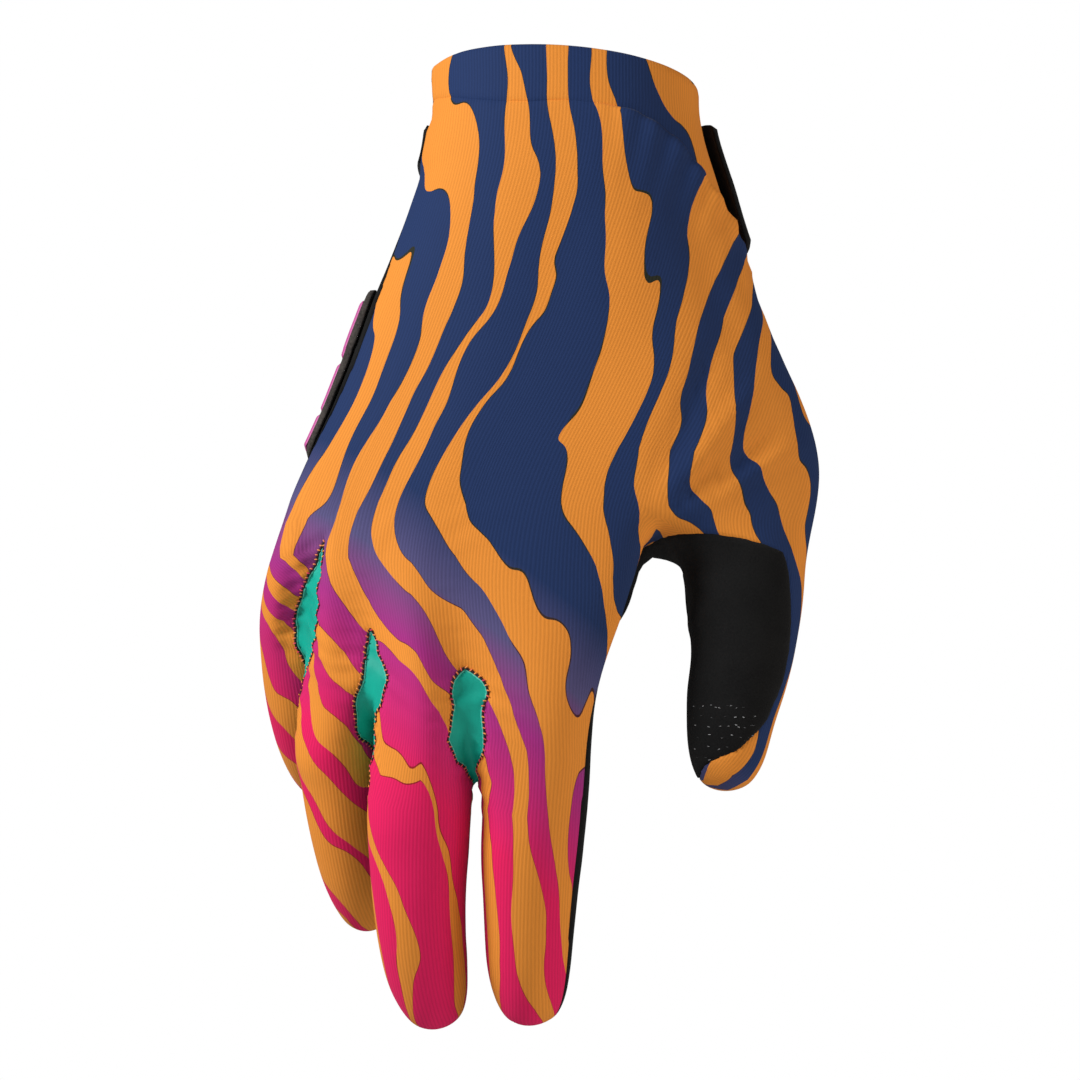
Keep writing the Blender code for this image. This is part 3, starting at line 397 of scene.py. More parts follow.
class Spine:
    """The middle line of a finger, which curls more and more towards its tip."""

    STEPS = 60

    def __init__(self, finger):
        self.finger = finger
        self.length = finger.length * FINGER_LENGTH
        self.width = finger.width * FINGER_WIDTH
        point = Vector(
            (
                MIDDLE_ACROSS + finger.across * FINGER_WIDTH,
                MIDDLE_BACK + finger.back * FINGER_WIDTH,
                -MIDDLE_DROP - finger.drop * FINGER_WIDTH,
            )
        )
        self.points = [point]
        for i in range(self.STEPS):
            step = self.length / self.STEPS
            self.points.append(self.points[-1] + self.axes((i + 0.5) / self.STEPS)[0] * step)

    def axes(self, station):
        """Along the finger, out of its back, and towards the thumb."""
        turn = min(max(station, 0.0), 1.0)
        flex = math.radians(self.finger.flex_root + (self.finger.flex_tip - self.finger.flex_root) * turn)
        lean = math.radians(self.finger.lean_root + (self.finger.lean_tip - self.finger.lean_root) * turn**2)
        along = Vector((math.sin(lean), math.cos(lean) * math.sin(flex), -math.cos(lean) * math.cos(flex)))
        out = Vector((0, -math.cos(flex), -math.sin(flex)))
        out = (out - along * out.dot(along)).normalized()
        beside = out.cross(along)
        roll = math.radians(self.finger.roll)
        return along, out * math.cos(roll) - beside * math.sin(roll), beside * math.cos(roll) + out * math.sin(roll)

    def centre(self, station):
        if station < 0:
            return self.points[0] + self.axes(0)[0] * station * self.length
        place = min(station, 1.0) * self.STEPS
        i = min(int(place), self.STEPS - 1)
        return self.points[i].lerp(self.points[i + 1], place - i)

    def ring_point(self, station, degrees):
        _, out, beside = self.axes(station)
        wide = read_table(FINGER_GIRTH, "width", station) * self.width / 2
        deep = read_table(FINGER_GIRTH, "depth", station) * self.width / 2
        angle = math.radians(degrees)
        return self.centre(station) + beside * wide * math.sin(angle) + out * deep * math.cos(angle)



# Marks on the skin's points: how far round a finger and along it, how deep inside the thumb's patch, how far
# below the hem, how much the knit is gathered, how far inside the palm's suede at the little finger and at the
# index finger, and the place on the flat cloth.
MARKS = ("around", "along", "patch", "hem", "gather", "heel", "edge", "across", "down")
NO_MARK = -3.0

# Zones of the skin, one for each kind of seam. The gussets' zones follow the last one, two for each gap: on the
# finger before it and on the one after it.
NO_ZONE, HEM_ZONE, HEEL_ZONE, PATCH_ZONE, INDEX_ZONE, GUSSET_ZONE = range(6)


class Skin:
    """A coarse net of named points with quads between them, which is smoothed into the glove's surface."""

    def __init__(self):
        self.index = {}
        self.points = []
        self.marks = []
        self.faces = []
        self.labels = []

    def add(self, name, point, **marks):
        self.index[name] = len(self.points)
        self.points.append(point)
        self.marks.append([marks.get(mark, NO_MARK) for mark in MARKS])

    def quad(self, names, panel, zone):
        self.faces.append([self.index[n] for n in names])
        self.labels.append((panel, zone))

    def strip(self, upper, lower, panels, zones):
        """Quads between two rings of names, each with its panel and the zone of its seam."""
        for i in range(len(upper)):
            j = (i + 1) % len(upper)
            self.quad((upper[i], lower[i], lower[j], upper[j]), panels[i], zones[i])


BODY_NAMES = (
    ["L"] + [f"D{i}" for i in range(LAST_LINE + 1)] + ["R"] + [f"P{i}" for i in range(LAST_LINE, -1, -1)]
)
HAND_NAMES = (
    ["L"]
    + [f"D{i}" for i in range(LAST_HAND_LINE + 1)]
    + ["M"]
    + [f"P{i}" for i in range(LAST_HAND_LINE, -1, -1)]
)
THUMB_NAMES = ["D8", "D9", "D10", "R", "P10", "P9", "P8", "M"]
THUMB_ANGLES = {"R": 0, "D10": 45, "D9": 90, "D8": 135, "M": 180, "P8": 225, "P9": 270, "P10": 315}
HEEL_LINES = {"P0": -1, "L": 0, "D0": 1, "D1": 2}


def around_of(name):
    """Place of a lengthwise line round the finger it leads to: 0 on its back, 1 at its side, 2 on its front."""
    if name in ("L", "M"):
        return 1.0
    odd = int(name[1:]) % 2
    if name[0] == "D":
        return 0.0 if odd else 0.5
    return 2.0 if odd else 1.5


def heel_of(name, drop):
    return read_table(HEEL_EDGE, "reach", drop) - HEEL_LINES.get(name, 3)


def edge_of(name, place):
    return read_table(INDEX_EDGE, "reach", place) - INDEX_LINES.get(name, 3)


def finger_ring_names(i):
    """The eight names round the root of finger i, from its ulnar back edge towards the thumb."""
    right = "M" if i == 3 else f"W{i}"
    left = "L" if i == 0 else f"W{i - 1}"
    a, b, c = 2 * i, 2 * i + 1, 2 * i + 2
    return [f"D{a}", f"D{b}", f"D{c}", right, f"P{c}", f"P{b}", f"P{a}", left]


def root_points(spines):
    """Points of the ring where the palm divides into fingers. Neighbours share the points of their web."""
    root = {}
    for i, spine in enumerate(spines):
        root[f"D{2 * i + 1}"] = spine.ring_point(0, 0)
        root[f"P{2 * i + 1}"] = spine.ring_point(0, 180)
    rise = -WEB_RISE / FINGER_LENGTH
    for i, gap in enumerate(GAPS):
        one, other, line = spines[i], spines[i + 1], 2 * i + 2
        back = one.ring_point(rise, BACK_EDGE).lerp(other.ring_point(rise, -BACK_EDGE), gap.valley)
        dip = WEB_DIP * gap.dip / FINGER_LENGTH
        palm_dip = WEB_DIP * (1 + gap.dip) / 2 / FINGER_LENGTH
        root[f"D{line}"] = back
        root[f"W{i}"] = one.ring_point(dip, SIDE).lerp(other.ring_point(dip, -SIDE), 0.5)
        root[f"P{line}"] = one.ring_point(palm_dip, PALM_EDGE).lerp(other.ring_point(palm_dip, -PALM_EDGE), 0.5)
    little, index = spines[0], spines[-1]
    root["D0"] = little.ring_point(0, -BACK_EDGE)
    root["L"] = little.ring_point(0, -SIDE)
    root["P0"] = little.ring_point(0, -PALM_EDGE)
    root["D8"] = index.ring_point(0, BACK_EDGE)
    root["M"] = index.ring_point(0, INDEX_SIDE)
    root["P8"] = index.ring_point(0, PALM_EDGE)
    return root


def build_skin():
    skin = Skin()
    rings = [body_ring(drop) for drop in BODY_DROPS]
    rings[FORK_ROW]["D8"] += FORK_DIP
    for row, ring in enumerate(rings):
        for name in BODY_NAMES:
            line = HEM_LINES.get(name, LEVEL_HEM)
            hem = HEM_HEIGHT + HEM_DROP * line.drop
            marks = dict(hem=(-ring[name].z - hem) / GATHER_LENGTH, gather=line.gather, along=-2.0)
            marks["heel"] = heel_of(name, BODY_DROPS[row])
            if name in HAND_NAMES:
                marks["around"] = around_of(name)
            if row == FORK_ROW:
                marks.update(patch=PATCH_ROOT.get(name, NO_MARK), edge=edge_of(name, 0))
            skin.add((row, name), ring[name], **marks)
    for row in range(FORK_ROW):
        panels = [PALM if name[0] == "P" and name != "P10" else BACK for name in BODY_NAMES]
        zones = [HEM_ZONE if row < HEM_ROWS else NO_ZONE] * len(BODY_NAMES)
        if row >= HEEL_ROW:
            zones[:3] = [HEEL_ZONE] * 3
        skin.strip([(row, n) for n in BODY_NAMES], [(row + 1, n) for n in BODY_NAMES], panels, zones)

    fork_ring = rings[FORK_ROW]
    fork = fork_ring["D8"].lerp(fork_ring["P8"], 0.5)
    fork.z -= 0.02 * FORK_DROP
    skin.add((FORK_ROW, "M"), fork, around=1.0, along=-2.0, patch=0.0, hem=9.0, gather=0.0, edge=edge_of("M", 0))

    spines = [Spine(finger) for finger in FINGERS]
    add_hand(skin, rings, fork, spines)
    for i, spine in enumerate(spines):
        add_finger(skin, spine, i)
    add_thumb(skin)
    return skin


def add_hand(skin, rings, fork, spines):
    """The palm below the fork of the thumb, down to the roots of the fingers."""
    root = root_points(spines)
    above, start = rings[FORK_ROW - 1], dict(rings[FORK_ROW], M=fork)
    for name in HAND_NAMES:
        finger = {"L": 0, "M": 3}.get(name)
        if finger is None:
            finger = min(int(name[1:]) // 2, 3)
        arrive = spines[finger].axes(0)[0]
        span = (root[name] - start[name]).length
        leave = FORK_TURN.normalized() if name == "M" else (start[name] - above[name]).normalized()
        for row, hand_row in enumerate(HAND_ROWS, FORK_ROW + 1):
            point = hermite(start[name], root[name], leave * span, arrive * span, hand_row.place)
            if name[0] == "D" and name not in ("D0", "D8"):
                share = hand_row.valley if around_of(name) else hand_row.knuckle
                point = point + Vector((0, -1, 0)) * share * KNUCKLE_RISE
            marks = dict(around=around_of(name), along=-(point - root[name]).length / GUSSET_RISE)
            marks.update(heel=heel_of(name, -point.z / FORK_DROP), edge=edge_of(name, hand_row.place))
            skin.add((row, name), point, **marks)
        along = -WEB_RISE / GUSSET_RISE if name in ("D2", "D4", "D6") else 0.0
        marks = dict(around=around_of(name), along=along, heel=heel_of(name, 9), edge=edge_of(name, 1))
        skin.add((WEB_ROW, name), root[name], **marks)
    for i, gap in enumerate(GAPS):
        skin.add((WEB_ROW, f"W{i}"), root[f"W{i}"], around=1.0, along=WEB_DIP * gap.dip / GUSSET_RISE)

    panels = [BACK if name[0] in "LD" else PALM for name in HAND_NAMES]
    zones = [hand_zone(n, HAND_NAMES[(i + 1) % len(HAND_NAMES)]) for i, n in enumerate(HAND_NAMES)]
    for row in range(FORK_ROW, WEB_ROW):
        upper, lower = ([(r, n) for n in HAND_NAMES] for r in (row, row + 1))
        skin.strip(upper, lower, panels, zones)


def hand_zone(name, following):
    """Zone of the skin between two lines of the hand: beside a gap of the fingers, or at the heel."""
    if (name, following) in (("L", "D0"), ("D0", "D1")):
        return HEEL_ZONE
    if (name, following) == ("D8", "M"):
        return INDEX_ZONE
    if name in ("M", "L") or following in ("M", "L"):
        return NO_ZONE
    even, odd = sorted((int(name[1:]), int(following[1:])), key=lambda line: line % 2)
    return GUSSET_ZONE + even - 2 + (odd > even) if 2 <= even <= 6 else NO_ZONE


def add_finger(skin, spine, i):
    """One finger, from its root ring to the point of its tip."""
    radial_side = INDEX_SIDE if i == 3 else SIDE
    angles = [-BACK_EDGE, 0, BACK_EDGE, radial_side, PALM_EDGE, 180, -PALM_EDGE, -SIDE]
    arounds = [0.5, 0.0, 0.5, 1.0, 1.5, 2.0, 1.5, 1.0]
    left = NO_ZONE if i == 0 else GUSSET_ZONE + 2 * i - 1
    right = NO_ZONE if i == 3 else GUSSET_ZONE + 2 * i
    zones = [left, right, right, right, right, left, left, left]
    tip_zones = [NO_ZONE] * 8
    if i == 3:
        zones[2] = tip_zones[2] = INDEX_ZONE
    panels = [BACK, BACK, BACK, PALM, PALM, PALM, PALM, BACK]
    upper = [(WEB_ROW, n) for n in finger_ring_names(i)]
    for k, station in enumerate(FINGER_STATIONS):
        lower = [(spine.finger.name, k, j) for j in range(8)]
        for name, degrees, around in zip(lower, angles, arounds):
            marks = dict(around=around, along=station * spine.length / GUSSET_RISE)
            if i == 3:
                marks["edge"] = edge_of({2: "D8", 3: "M", 4: "P8"}.get(name[2]), 1 + station)
            skin.add(name, spine.ring_point(station, degrees), **marks)
        skin.strip(upper, lower, panels, zones)
        upper = lower
    tip = (spine.finger.name, "tip")
    skin.add(tip, spine.centre(1.0), around=1.0, along=spine.length / GUSSET_RISE, edge=0.0)
    close_tip(skin, upper, tip, panels, tip_zones)


def close_tip(skin, ring, tip, panels, zones):
    """Four quads from an eight-point ring to the tip."""
    for j in range(0, 8, 2):
        following = (j + 2) % 8
        skin.quad((ring[j], tip, ring[following], ring[j + 1]), panels[j], zones[j])


def add_thumb(skin):
    """The thumb, from the fork to the point of its tip. Its nail side faces +X and its inner side -Y."""
    upper = [(FORK_ROW, n) for n in THUMB_NAMES]
    for k, section in enumerate(THUMB_SECTIONS):
        lower = [("thumb", k, n) for n in THUMB_NAMES]
        for name in lower:
            angle = math.radians(THUMB_ANGLES[name[2]])
            point = Vector(
                (
                    HALF_SPAN * section.across + section.width * THUMB_WIDTH / 2 * math.cos(angle),
                    WRIST_DEPTH * section.back - section.depth * THUMB_WIDTH / 2 * math.sin(angle),
                    -FORK_DROP - THUMB_LENGTH * section.station,
                )
            )
            reach = read_table(PATCH_EDGE, "reach", section.station)
            skin.add(name, point, patch=reach - THUMB_PLACES[name[2]])
        skin.strip(upper, lower, [BACK] * 8, [PATCH_ZONE] * 8)
        upper = lower
    tip = Vector((HALF_SPAN * THUMB_TIP.across, WRIST_DEPTH * THUMB_TIP.back, -FORK_DROP - THUMB_LENGTH))
    skin.add(("thumb", "tip"), tip, patch=read_table(PATCH_EDGE, "reach", 1.0) - 2.0)
    close_tip(skin, upper, ("thumb", "tip"), [BACK] * 8, [PATCH_ZONE] * 8)



def smoothed(skin, levels):
    """The skin as a fine mesh through its named points, with their marks and its faces' panels and zones."""
    mesh = bpy.data.meshes.new("skin")
    targets = np.array([tuple(p) for p in skin.points])
    mesh.from_pydata(targets.tolist(), [], skin.faces)
    for column, name in enumerate(MARKS):
        values = np.array([marks[column] for marks in skin.marks], np.float32)
        mesh.attributes.new(name, "FLOAT", "POINT").data.foreach_set("value", values)
    for column, name in enumerate(("panel", "zone")):
        values = np.array([labels[column] for labels in skin.labels], np.int32)
        mesh.attributes.new(name, "INT", "FACE").data.foreach_set("value", values)
    holder = bpy.data.objects.new("skin", mesh)
    bpy.context.scene.collection.objects.link(holder)
    smoothing = holder.modifiers.new("Smooth", "SUBSURF")
    smoothing.levels = smoothing.render_levels = levels
    cage = targets.copy()
    for _ in range(4):
        mesh.vertices.foreach_set("co", cage.astype(np.float32).ravel())
        mesh.update()
        bpy.context.view_layer.update()
        evaluated = holder.evaluated_get(bpy.context.evaluated_depsgraph_get()).data
        reached = np.array([v.co[:] for v in evaluated.vertices[: len(cage)]])
        cage += 0.8 * (targets - reached)
    mesh.vertices.foreach_set("co", cage.astype(np.float32).ravel())
    mesh.update()
    bpy.context.view_layer.update()
    graph = bpy.context.evaluated_depsgraph_get()
    fine = bpy.data.meshes.new_from_object(holder.evaluated_get(graph), depsgraph=graph)
    bpy.data.objects.remove(holder)
    net = bmesh.new()
    net.from_mesh(fine)
    return net



class Seams:
    """Cuts the skin into panels along lines where a value worked out from its marks is zero."""

    NEAR = 0.22

    def __init__(self, net):
        self.net = net
        self.panel = net.faces.layers.int["panel"]
        self.zone = net.faces.layers.int["zone"]
        self.mark = {name: net.verts.layers.float[name] for name in MARKS}

    def cut(self, zone, value_of, inside):
        """Splits the faces of a zone and gives the part where the value is positive to the panel inside."""
        faces = [f for f in self.net.faces if f[self.zone] == zone]
        value = {v: value_of({m: v[layer] for m, layer in self.mark.items()}) for f in faces for v in f.verts}
        value = {v: 0.0 if abs(x) < 1e-3 else x for v, x in value.items()}
        edges = {e for f in faces for e in f.edges}
        moved = {}
        for edge in edges:
            a, b = edge.verts
            if value[a] * value[b] >= 0:
                continue
            t = value[a] / (value[a] - value[b])
            near = a if t < self.NEAR else b if t > 1 - self.NEAR else None
            if near:
                moved.setdefault(near, []).append(a.co.lerp(b.co, t))
        for v, points in moved.items():
            value[v] = 0.0
            if len({f[self.panel] for f in v.link_faces}) == 1 and not v.is_boundary:
                v.co = sum(points, Vector()) / len(points)
        for edge in edges:
            a, b = edge.verts
            if value[a] * value[b] < 0:
                _, new = bmesh.utils.edge_split(edge, a, value[a] / (value[a] - value[b]))
                value[new] = 0.0
        while faces:
            face = faces.pop()
            pair = self.crossing(face, value)
            if pair:
                new, _ = bmesh.utils.face_split(face, *pair)
                faces += [face, new]
            elif sum(value[v] for v in face.verts) > 0:
                face[self.panel] = inside

    @staticmethod
    def crossing(face, value):
        """Two points of a face on the seam, with one side of it inside and the other outside."""
        verts = list(face.verts)
        count = len(verts)
        for i in range(count):
            for j in range(i + 2, count):
                if value[verts[i]] or value[verts[j]] or (i == 0 and j == count - 1):
                    continue
                one = [value[v] for v in verts[i + 1 : j]]
                other = [value[v] for v in verts[j + 1 :] + verts[:i]]
                if sum(one) * sum(other) < 0:
                    return verts[i], verts[j]
        return None


def gusset_value(marks, zone):
    """How far inside its gusset a point is, in the zone of one of the fingers beside it."""
    gap, after = divmod(zone - GUSSET_ZONE, 2)
    start = read_table(GAPS[gap].edge, "after" if after else "before", marks["along"])
    return min(marks["around"] - start, read_table(GAPS[gap].edge, "stop", marks["along"]) - marks["around"])



# Where a panel lies on its flat cloth: metres across from the middle line of the hand, and metres down from the
# rim. The knit's ribs and its print follow these two.
def lay_cloth(skin):
    place = {}

    def span(one, other):
        return (skin.points[skin.index[one]] - skin.points[skin.index[other]]).length

    def walk(names, above):
        """Sets the places of a row of names, each from the one before it, going away from the first."""
        sign = 1 if names[0][1] else -1
        row = [name for name, _ in names]
        for k, name in enumerate(row):
            if k:
                across = place[row[k - 1]][0] + sign * span(row[k - 1], name)
            else:
                across = place[name][0] if name in place else place[above[name]][0] if name in above else 0.0
            down = place[above[name]][1] + span(above[name], name) if name in above else 0.0
            place[name] = (across, down)

    def both_ways(middle, right, left, above):
        walk([(name, True) for name in [middle] + right], above)
        walk([(name, False) for name in [middle] + left], above)

    for row in range(WEB_ROW + 1):
        names = BODY_NAMES if row <= FORK_ROW else HAND_NAMES
        middle, half = names.index("D5"), names.index("P5")
        right = [(row, n) for n in names[middle + 1 : half + 1]]
        left = [(row, n) for n in (names[:middle][::-1] + names[half + 1 :][::-1])]
        above = {(row, n): (row - 1, n) for n in names if row and (row - 1, n) in place}
        both_ways((row, "D5"), right, left, above)
        if row == FORK_ROW:
            across, down = place[(row, "D8")]
            place[(row, "M")] = (across + span((row, "D8"), (row, "M")), down)
    for i in range(len(FINGERS) - 1):
        across, down = place[(WEB_ROW, f"D{2 * i + 2}")]
        place[(WEB_ROW, f"W{i}")] = (across, down + span((WEB_ROW, f"D{2 * i + 2}"), (WEB_ROW, f"W{i}")))
    for i, finger in enumerate(FINGERS):
        upper = [(WEB_ROW, n) for n in finger_ring_names(i)]
        for k in range(len(FINGER_STATIONS)):
            lower = [(finger.name, k, j) for j in range(8)]
            both_ways(lower[1], lower[2:6], [lower[0], lower[7], lower[6]], dict(zip(lower, upper)))
            upper = lower
        across, down = place[upper[1]]
        place[(finger.name, "tip")] = (across, down + span(upper[1], (finger.name, "tip")))
    upper = [(FORK_ROW, n) for n in THUMB_NAMES]
    for k in range(len(THUMB_SECTIONS)):
        lower = [("thumb", k, n) for n in THUMB_NAMES]
        both_ways(lower[3], lower[4:7], lower[2::-1] + [lower[7]], dict(zip(lower, upper)))
        upper = lower
    across, down = place[upper[3]]
    place[("thumb", "tip")] = (across, down + span(upper[3], ("thumb", "tip")))
    for name, index in skin.index.items():
        skin.marks[index][MARKS.index("across")], skin.marks[index][MARKS.index("down")] = place[name]


# Folds and slack of the worn cloth, as ridges and creases on the form. side is -1 on the back and 1 on the palm.
# The ends are places seen from the back, in millimetres.
Fold = namedtuple("Fold", "side x0 z0 x1 z1 width height")
FOLDS = (
    Fold(-1, 24, -103, 41, -78, 1.9, 1.2),
    Fold(-1, 27, -107, 50, -90, 1.8, 1.1),
    Fold(-1, 22, -98, 33, -70, 2.0, -1.1),
    Fold(-1, 30, -105, 47, -86, 1.7, -1.0),
    Fold(-1, 25, -105, 34, -95, 1.1, -0.9),
    Fold(-1, 22, -121, 33, -122, 2.2, -0.6),
    Fold(-1, 22, -128, 33, -127, 2.4, 0.4),
    Fold(-1, -62, -112, -57, -122, 1.6, 0.7),
    Fold(-1, -60, -104, -55, -118, 1.8, -0.6),
    Fold(-1, 30, -30, 44, -62, 4.5, 0.5),
    Fold(-1, 26, -33, 38, -66, 4.0, -0.5),
    Fold(-1, -31, -12, -31, -22, 4.0, 1.0),
    Fold(1, -10, -62, 38, -98, 3.0, -1.0),
    Fold(1, -48, -98, 18, -112, 3.0, -1.0),
    Fold(1, -52, -116, 8, -124, 2.6, -0.8),
    Fold(1, -30, -34, 26, -38, 2.6, -0.8),
    Fold(1, -28, -40, 24, -45, 3.0, 0.6),
)
SLACK = ((19, 0.28), (7.5, 0.09))
CREASE_PLACES = (21, 26, 44, 48)
PUCKER = 0.32
PUCKER_PITCH = 4.1


def fold_height(point, side):
    """Height in millimetres of all the folds at a point, which fade towards their ends."""
    height = 0.0
    for fold in FOLDS:
        if fold.side != side:
            continue
        run = Vector((fold.x1 - fold.x0, fold.z1 - fold.z0))
        away = Vector((point.x / MM - fold.x0, point.z / MM - fold.z0))
        along = away.dot(run) / run.length_squared
        if -0.3 < along < 1.3:
            across = (away - run * along).length / fold.width
            fade = smooth_step((along + 0.3) / 0.5) * smooth_step((1.3 - along) / 0.5)
            height += fold.height * fade * math.exp(-(across**2))
    return height


def relief(v, marks, panel):
    """How far the cloth stands off the plain form at a point: slack, folds, creases and puckers, in metres."""
    height = sum(size * noise.noise(v.co / (scale * MM)) for scale, size in SLACK)
    height += fold_height(v.co, -1 if v.normal.y < 0 else 1)
    along = marks["along"] * GUSSET_RISE / MM
    if marks["around"] > 1.25 and along > 8:
        for place in CREASE_PLACES:
            height -= 0.45 * math.exp(-(((along - place) / 1.5) ** 2)) * smooth_step((marks["around"] - 1.25) / 0.4)
    if marks["gusset"] > -1:
        near = math.exp(-((marks["gusset"] / 0.34) ** 2)) * smooth_step((1.15 - marks["along"]) / 0.5)
        wave = math.sin(2 * math.pi * (along + 1.2 * noise.noise(v.co / (6 * MM))) / PUCKER_PITCH)
        height += PUCKER * near * wave
    return height * MM


def shaped_form():
    """The whole form as a fine net, cut along the seams, with the folds of the worn cloth in it."""
    skin = build_skin()
    lay_cloth(skin)
    net = smoothed(skin, 3)
    seams = Seams(net)
    side = net.faces.layers.int.new("side")
    for face in net.faces:
        face[side] = face[seams.panel]
    seams.cut(HEEL_ZONE, lambda marks: marks["heel"], PALM)
    seams.cut(INDEX_ZONE, lambda marks: marks["edge"], PALM)
    seams.cut(PATCH_ZONE, lambda marks: marks["patch"], PATCH)
    seams.cut(HEM_ZONE, lambda marks: -marks["hem"], HEM)
    for zone in range(GUSSET_ZONE, GUSSET_ZONE + 2 * len(GAPS)):
        seams.cut(zone, lambda marks: gusset_value(marks, zone), GUSSET + (zone - GUSSET_ZONE) // 2)
    bmesh.ops.triangulate(net, faces=[f for f in net.faces if len(f.verts) > 4])
    net.normal_update()
    heights = {}
    for v in net.verts:
        marks = {m: v[layer] for m, layer in seams.mark.items()}
        zone = max(f[seams.zone] for f in v.link_faces)
        marks["gusset"] = gusset_value(marks, zone) if zone >= GUSSET_ZONE else -9.0
        heights[v] = v.normal * relief(v, marks, None)
    for v, move in heights.items():
        v.co += move
    net.normal_update()
    return net, seams, side


net, seams, side_layer = shaped_form()

# Printed knit back
# The back is one piece of ribbed polyester knit with a dye print that soaks into it, so the print has no film or
# edge of its own. The cloth wraps round the thumb and is turned under at every seam.

EDGE_ROUND = ((0.25, 0.15), (0.38, 0.4), (0.38, 0.62), (0.25, 0.86))
ROLL = ((1.0, 0.1), (1.75, 0.75), (1.65, 1.45), (0.7, 1.75))


def linear(code):
    """Linear colour of an sRGB hex value, with full alpha."""
    parts = [int(code[i : i + 2], 16) / 255 for i in (1, 3, 5)]
    return tuple(c / 12.92 if c <= 0.04045 else ((c + 0.055) / 1.055) ** 2.4 for c in parts) + (1.0,)


def add_node(tree, kind, inputs=None, **settings):
    """Adds a shader node. An input is a value, or another node whose first output is linked to it."""
    node = tree.nodes.new("ShaderNode" + kind)
    for name, value in settings.items():
        setattr(node, name, value)
    for socket, value in (inputs or {}).items():
        if isinstance(value, bpy.types.Node):
            value = value.outputs[0]
        if isinstance(value, bpy.types.NodeSocket):
            tree.links.new(value, node.inputs[socket])
        else:
            node.inputs[socket].default_value = value
    return node


def new_material(name):
    """An empty material, its node tree and its Principled shader, which is linked to the output."""
    made = bpy.data.materials.new(name)
    made.use_nodes = True
    made.node_tree.nodes.clear()
    shader = add_node(made.node_tree, "BsdfPrincipled")
    output = add_node(made.node_tree, "OutputMaterial", {"Surface": shader})
    return made, made.node_tree, shader


def panel_object(name, faces, wall, tuck, drop, materials, lift_of=None, inner=1):
    """A closed sheet of cloth over these faces of the form, with its edges turned down and rounded.

    The sheet stops tuck short of its seams, where its edge lies drop lower. Its inside takes the material at
    place inner, and the faces whose side isn't the first face's own take the third material, if there is one.
    """
    across, down = seams.mark["across"], seams.mark["down"]
    inside = set(faces)
    rows, place, ring = [], [], {}
    for v in net.verts:
        mine = [f for f in v.link_faces if f in inside]
        if not mine:
            continue
        pulls = []
        for edge in v.link_edges:
            held = [f for f in edge.link_faces if f in inside]
            if len(held) == 1:
                middle = (edge.verts[0].co + edge.verts[1].co) / 2
                pull = held[0].normal.cross(edge.verts[1].co - edge.verts[0].co).normalized()
                pulls.append(pull if pull.dot(held[0].calc_center_median() - middle) > 0 else -pull)
        lift, roll = lift_of(v) if lift_of else (0.0, 0.0)
        outer = v.co + v.normal * lift
        if pulls:
            pull = sum(pulls, Vector())
            if len(pulls) == 2:
                pull = pull / max(1 + pulls[0].dot(pulls[1]), 0.45)
            free = all(len(e.link_faces) == 1 for e in v.link_edges if sum(f in inside for f in e.link_faces) == 1)
            outer += pull * (0 if free else tuck) - v.normal * (drop * (1 - roll))
            out = -pull.normalized()
            steps = []
            for (plain_out, plain_in), (roll_out, roll_in) in zip(EDGE_ROUND, ROLL):
                over = plain_out * wall * (1 - roll) + roll_out * MM * roll
                under = plain_in * wall * (1 - roll) + roll_in * MM * roll
                steps.append(outer + out * over - v.normal * under)
        points = [outer, outer - v.normal * wall] + (steps if pulls else [])
        ring[v] = len(rows)
        rows += points
        place += [(v[across], v[down])] * len(points)
    quads, slots = [], []
    own = faces[0][side_layer]
    for face in faces:
        corners = [ring[v] for v in face.verts]
        other = len(materials) > 2 and face[side_layer] != own
        quads += [corners, [i + 1 for i in reversed(corners)]]
        slots += [2 if other else 0, 2 if other else inner]
        for loop in face.loops:
            if sum(f in inside for f in loop.edge.link_faces) == 1:
                a, b = ring[loop.vert], ring[loop.link_loop_next.vert]
                chain = [0, 2, 3, 4, 5, 1]
                for one, next_one in zip(chain, chain[1:]):
                    quads.append([b + one, a + one, a + next_one, b + next_one])
                    slots.append(2 if other else 0)
    mesh = bpy.data.meshes.new(name)
    mesh.from_pydata([tuple(p) for p in rows], [], quads)
    for column, mark in enumerate(("across", "down")):
        values = np.array([p[column] for p in place], np.float32)
        mesh.attributes.new(mark, "FLOAT", "POINT").data.foreach_set("value", values)
    mesh.polygons.foreach_set("material_index", slots)
    mesh.polygons.foreach_set("use_smooth", [True] * len(quads))
    for made in materials:
        mesh.materials.append(made)
    obj = bpy.data.objects.new(name, mesh)
    bpy.context.scene.collection.objects.link(obj)
    return obj


# The knit's ribs stand 0.8 mm apart. The print is a generic design of ragged stripes, which run down the hand and
# fade from navy to purple and pink at the fingers, and the two dyes darken each other where they overlap.
NAVY, SLATE, PLUM, PINK = "#203664", "#5C5684", "#AC3088", "#F01E64"
NAVY_LINE, PLUM_LINE, PINK_LINE = "#2C2E22", "#5A2438", "#A8202C"
ORANGE = "#F49739"
FADE_SLOPE = 0.76
FADE_START, FADE_END = 0.128, 0.192
RIB_PITCH = 0.8
STRIPE_PITCH = 15.5
OVERLAP = 0.18


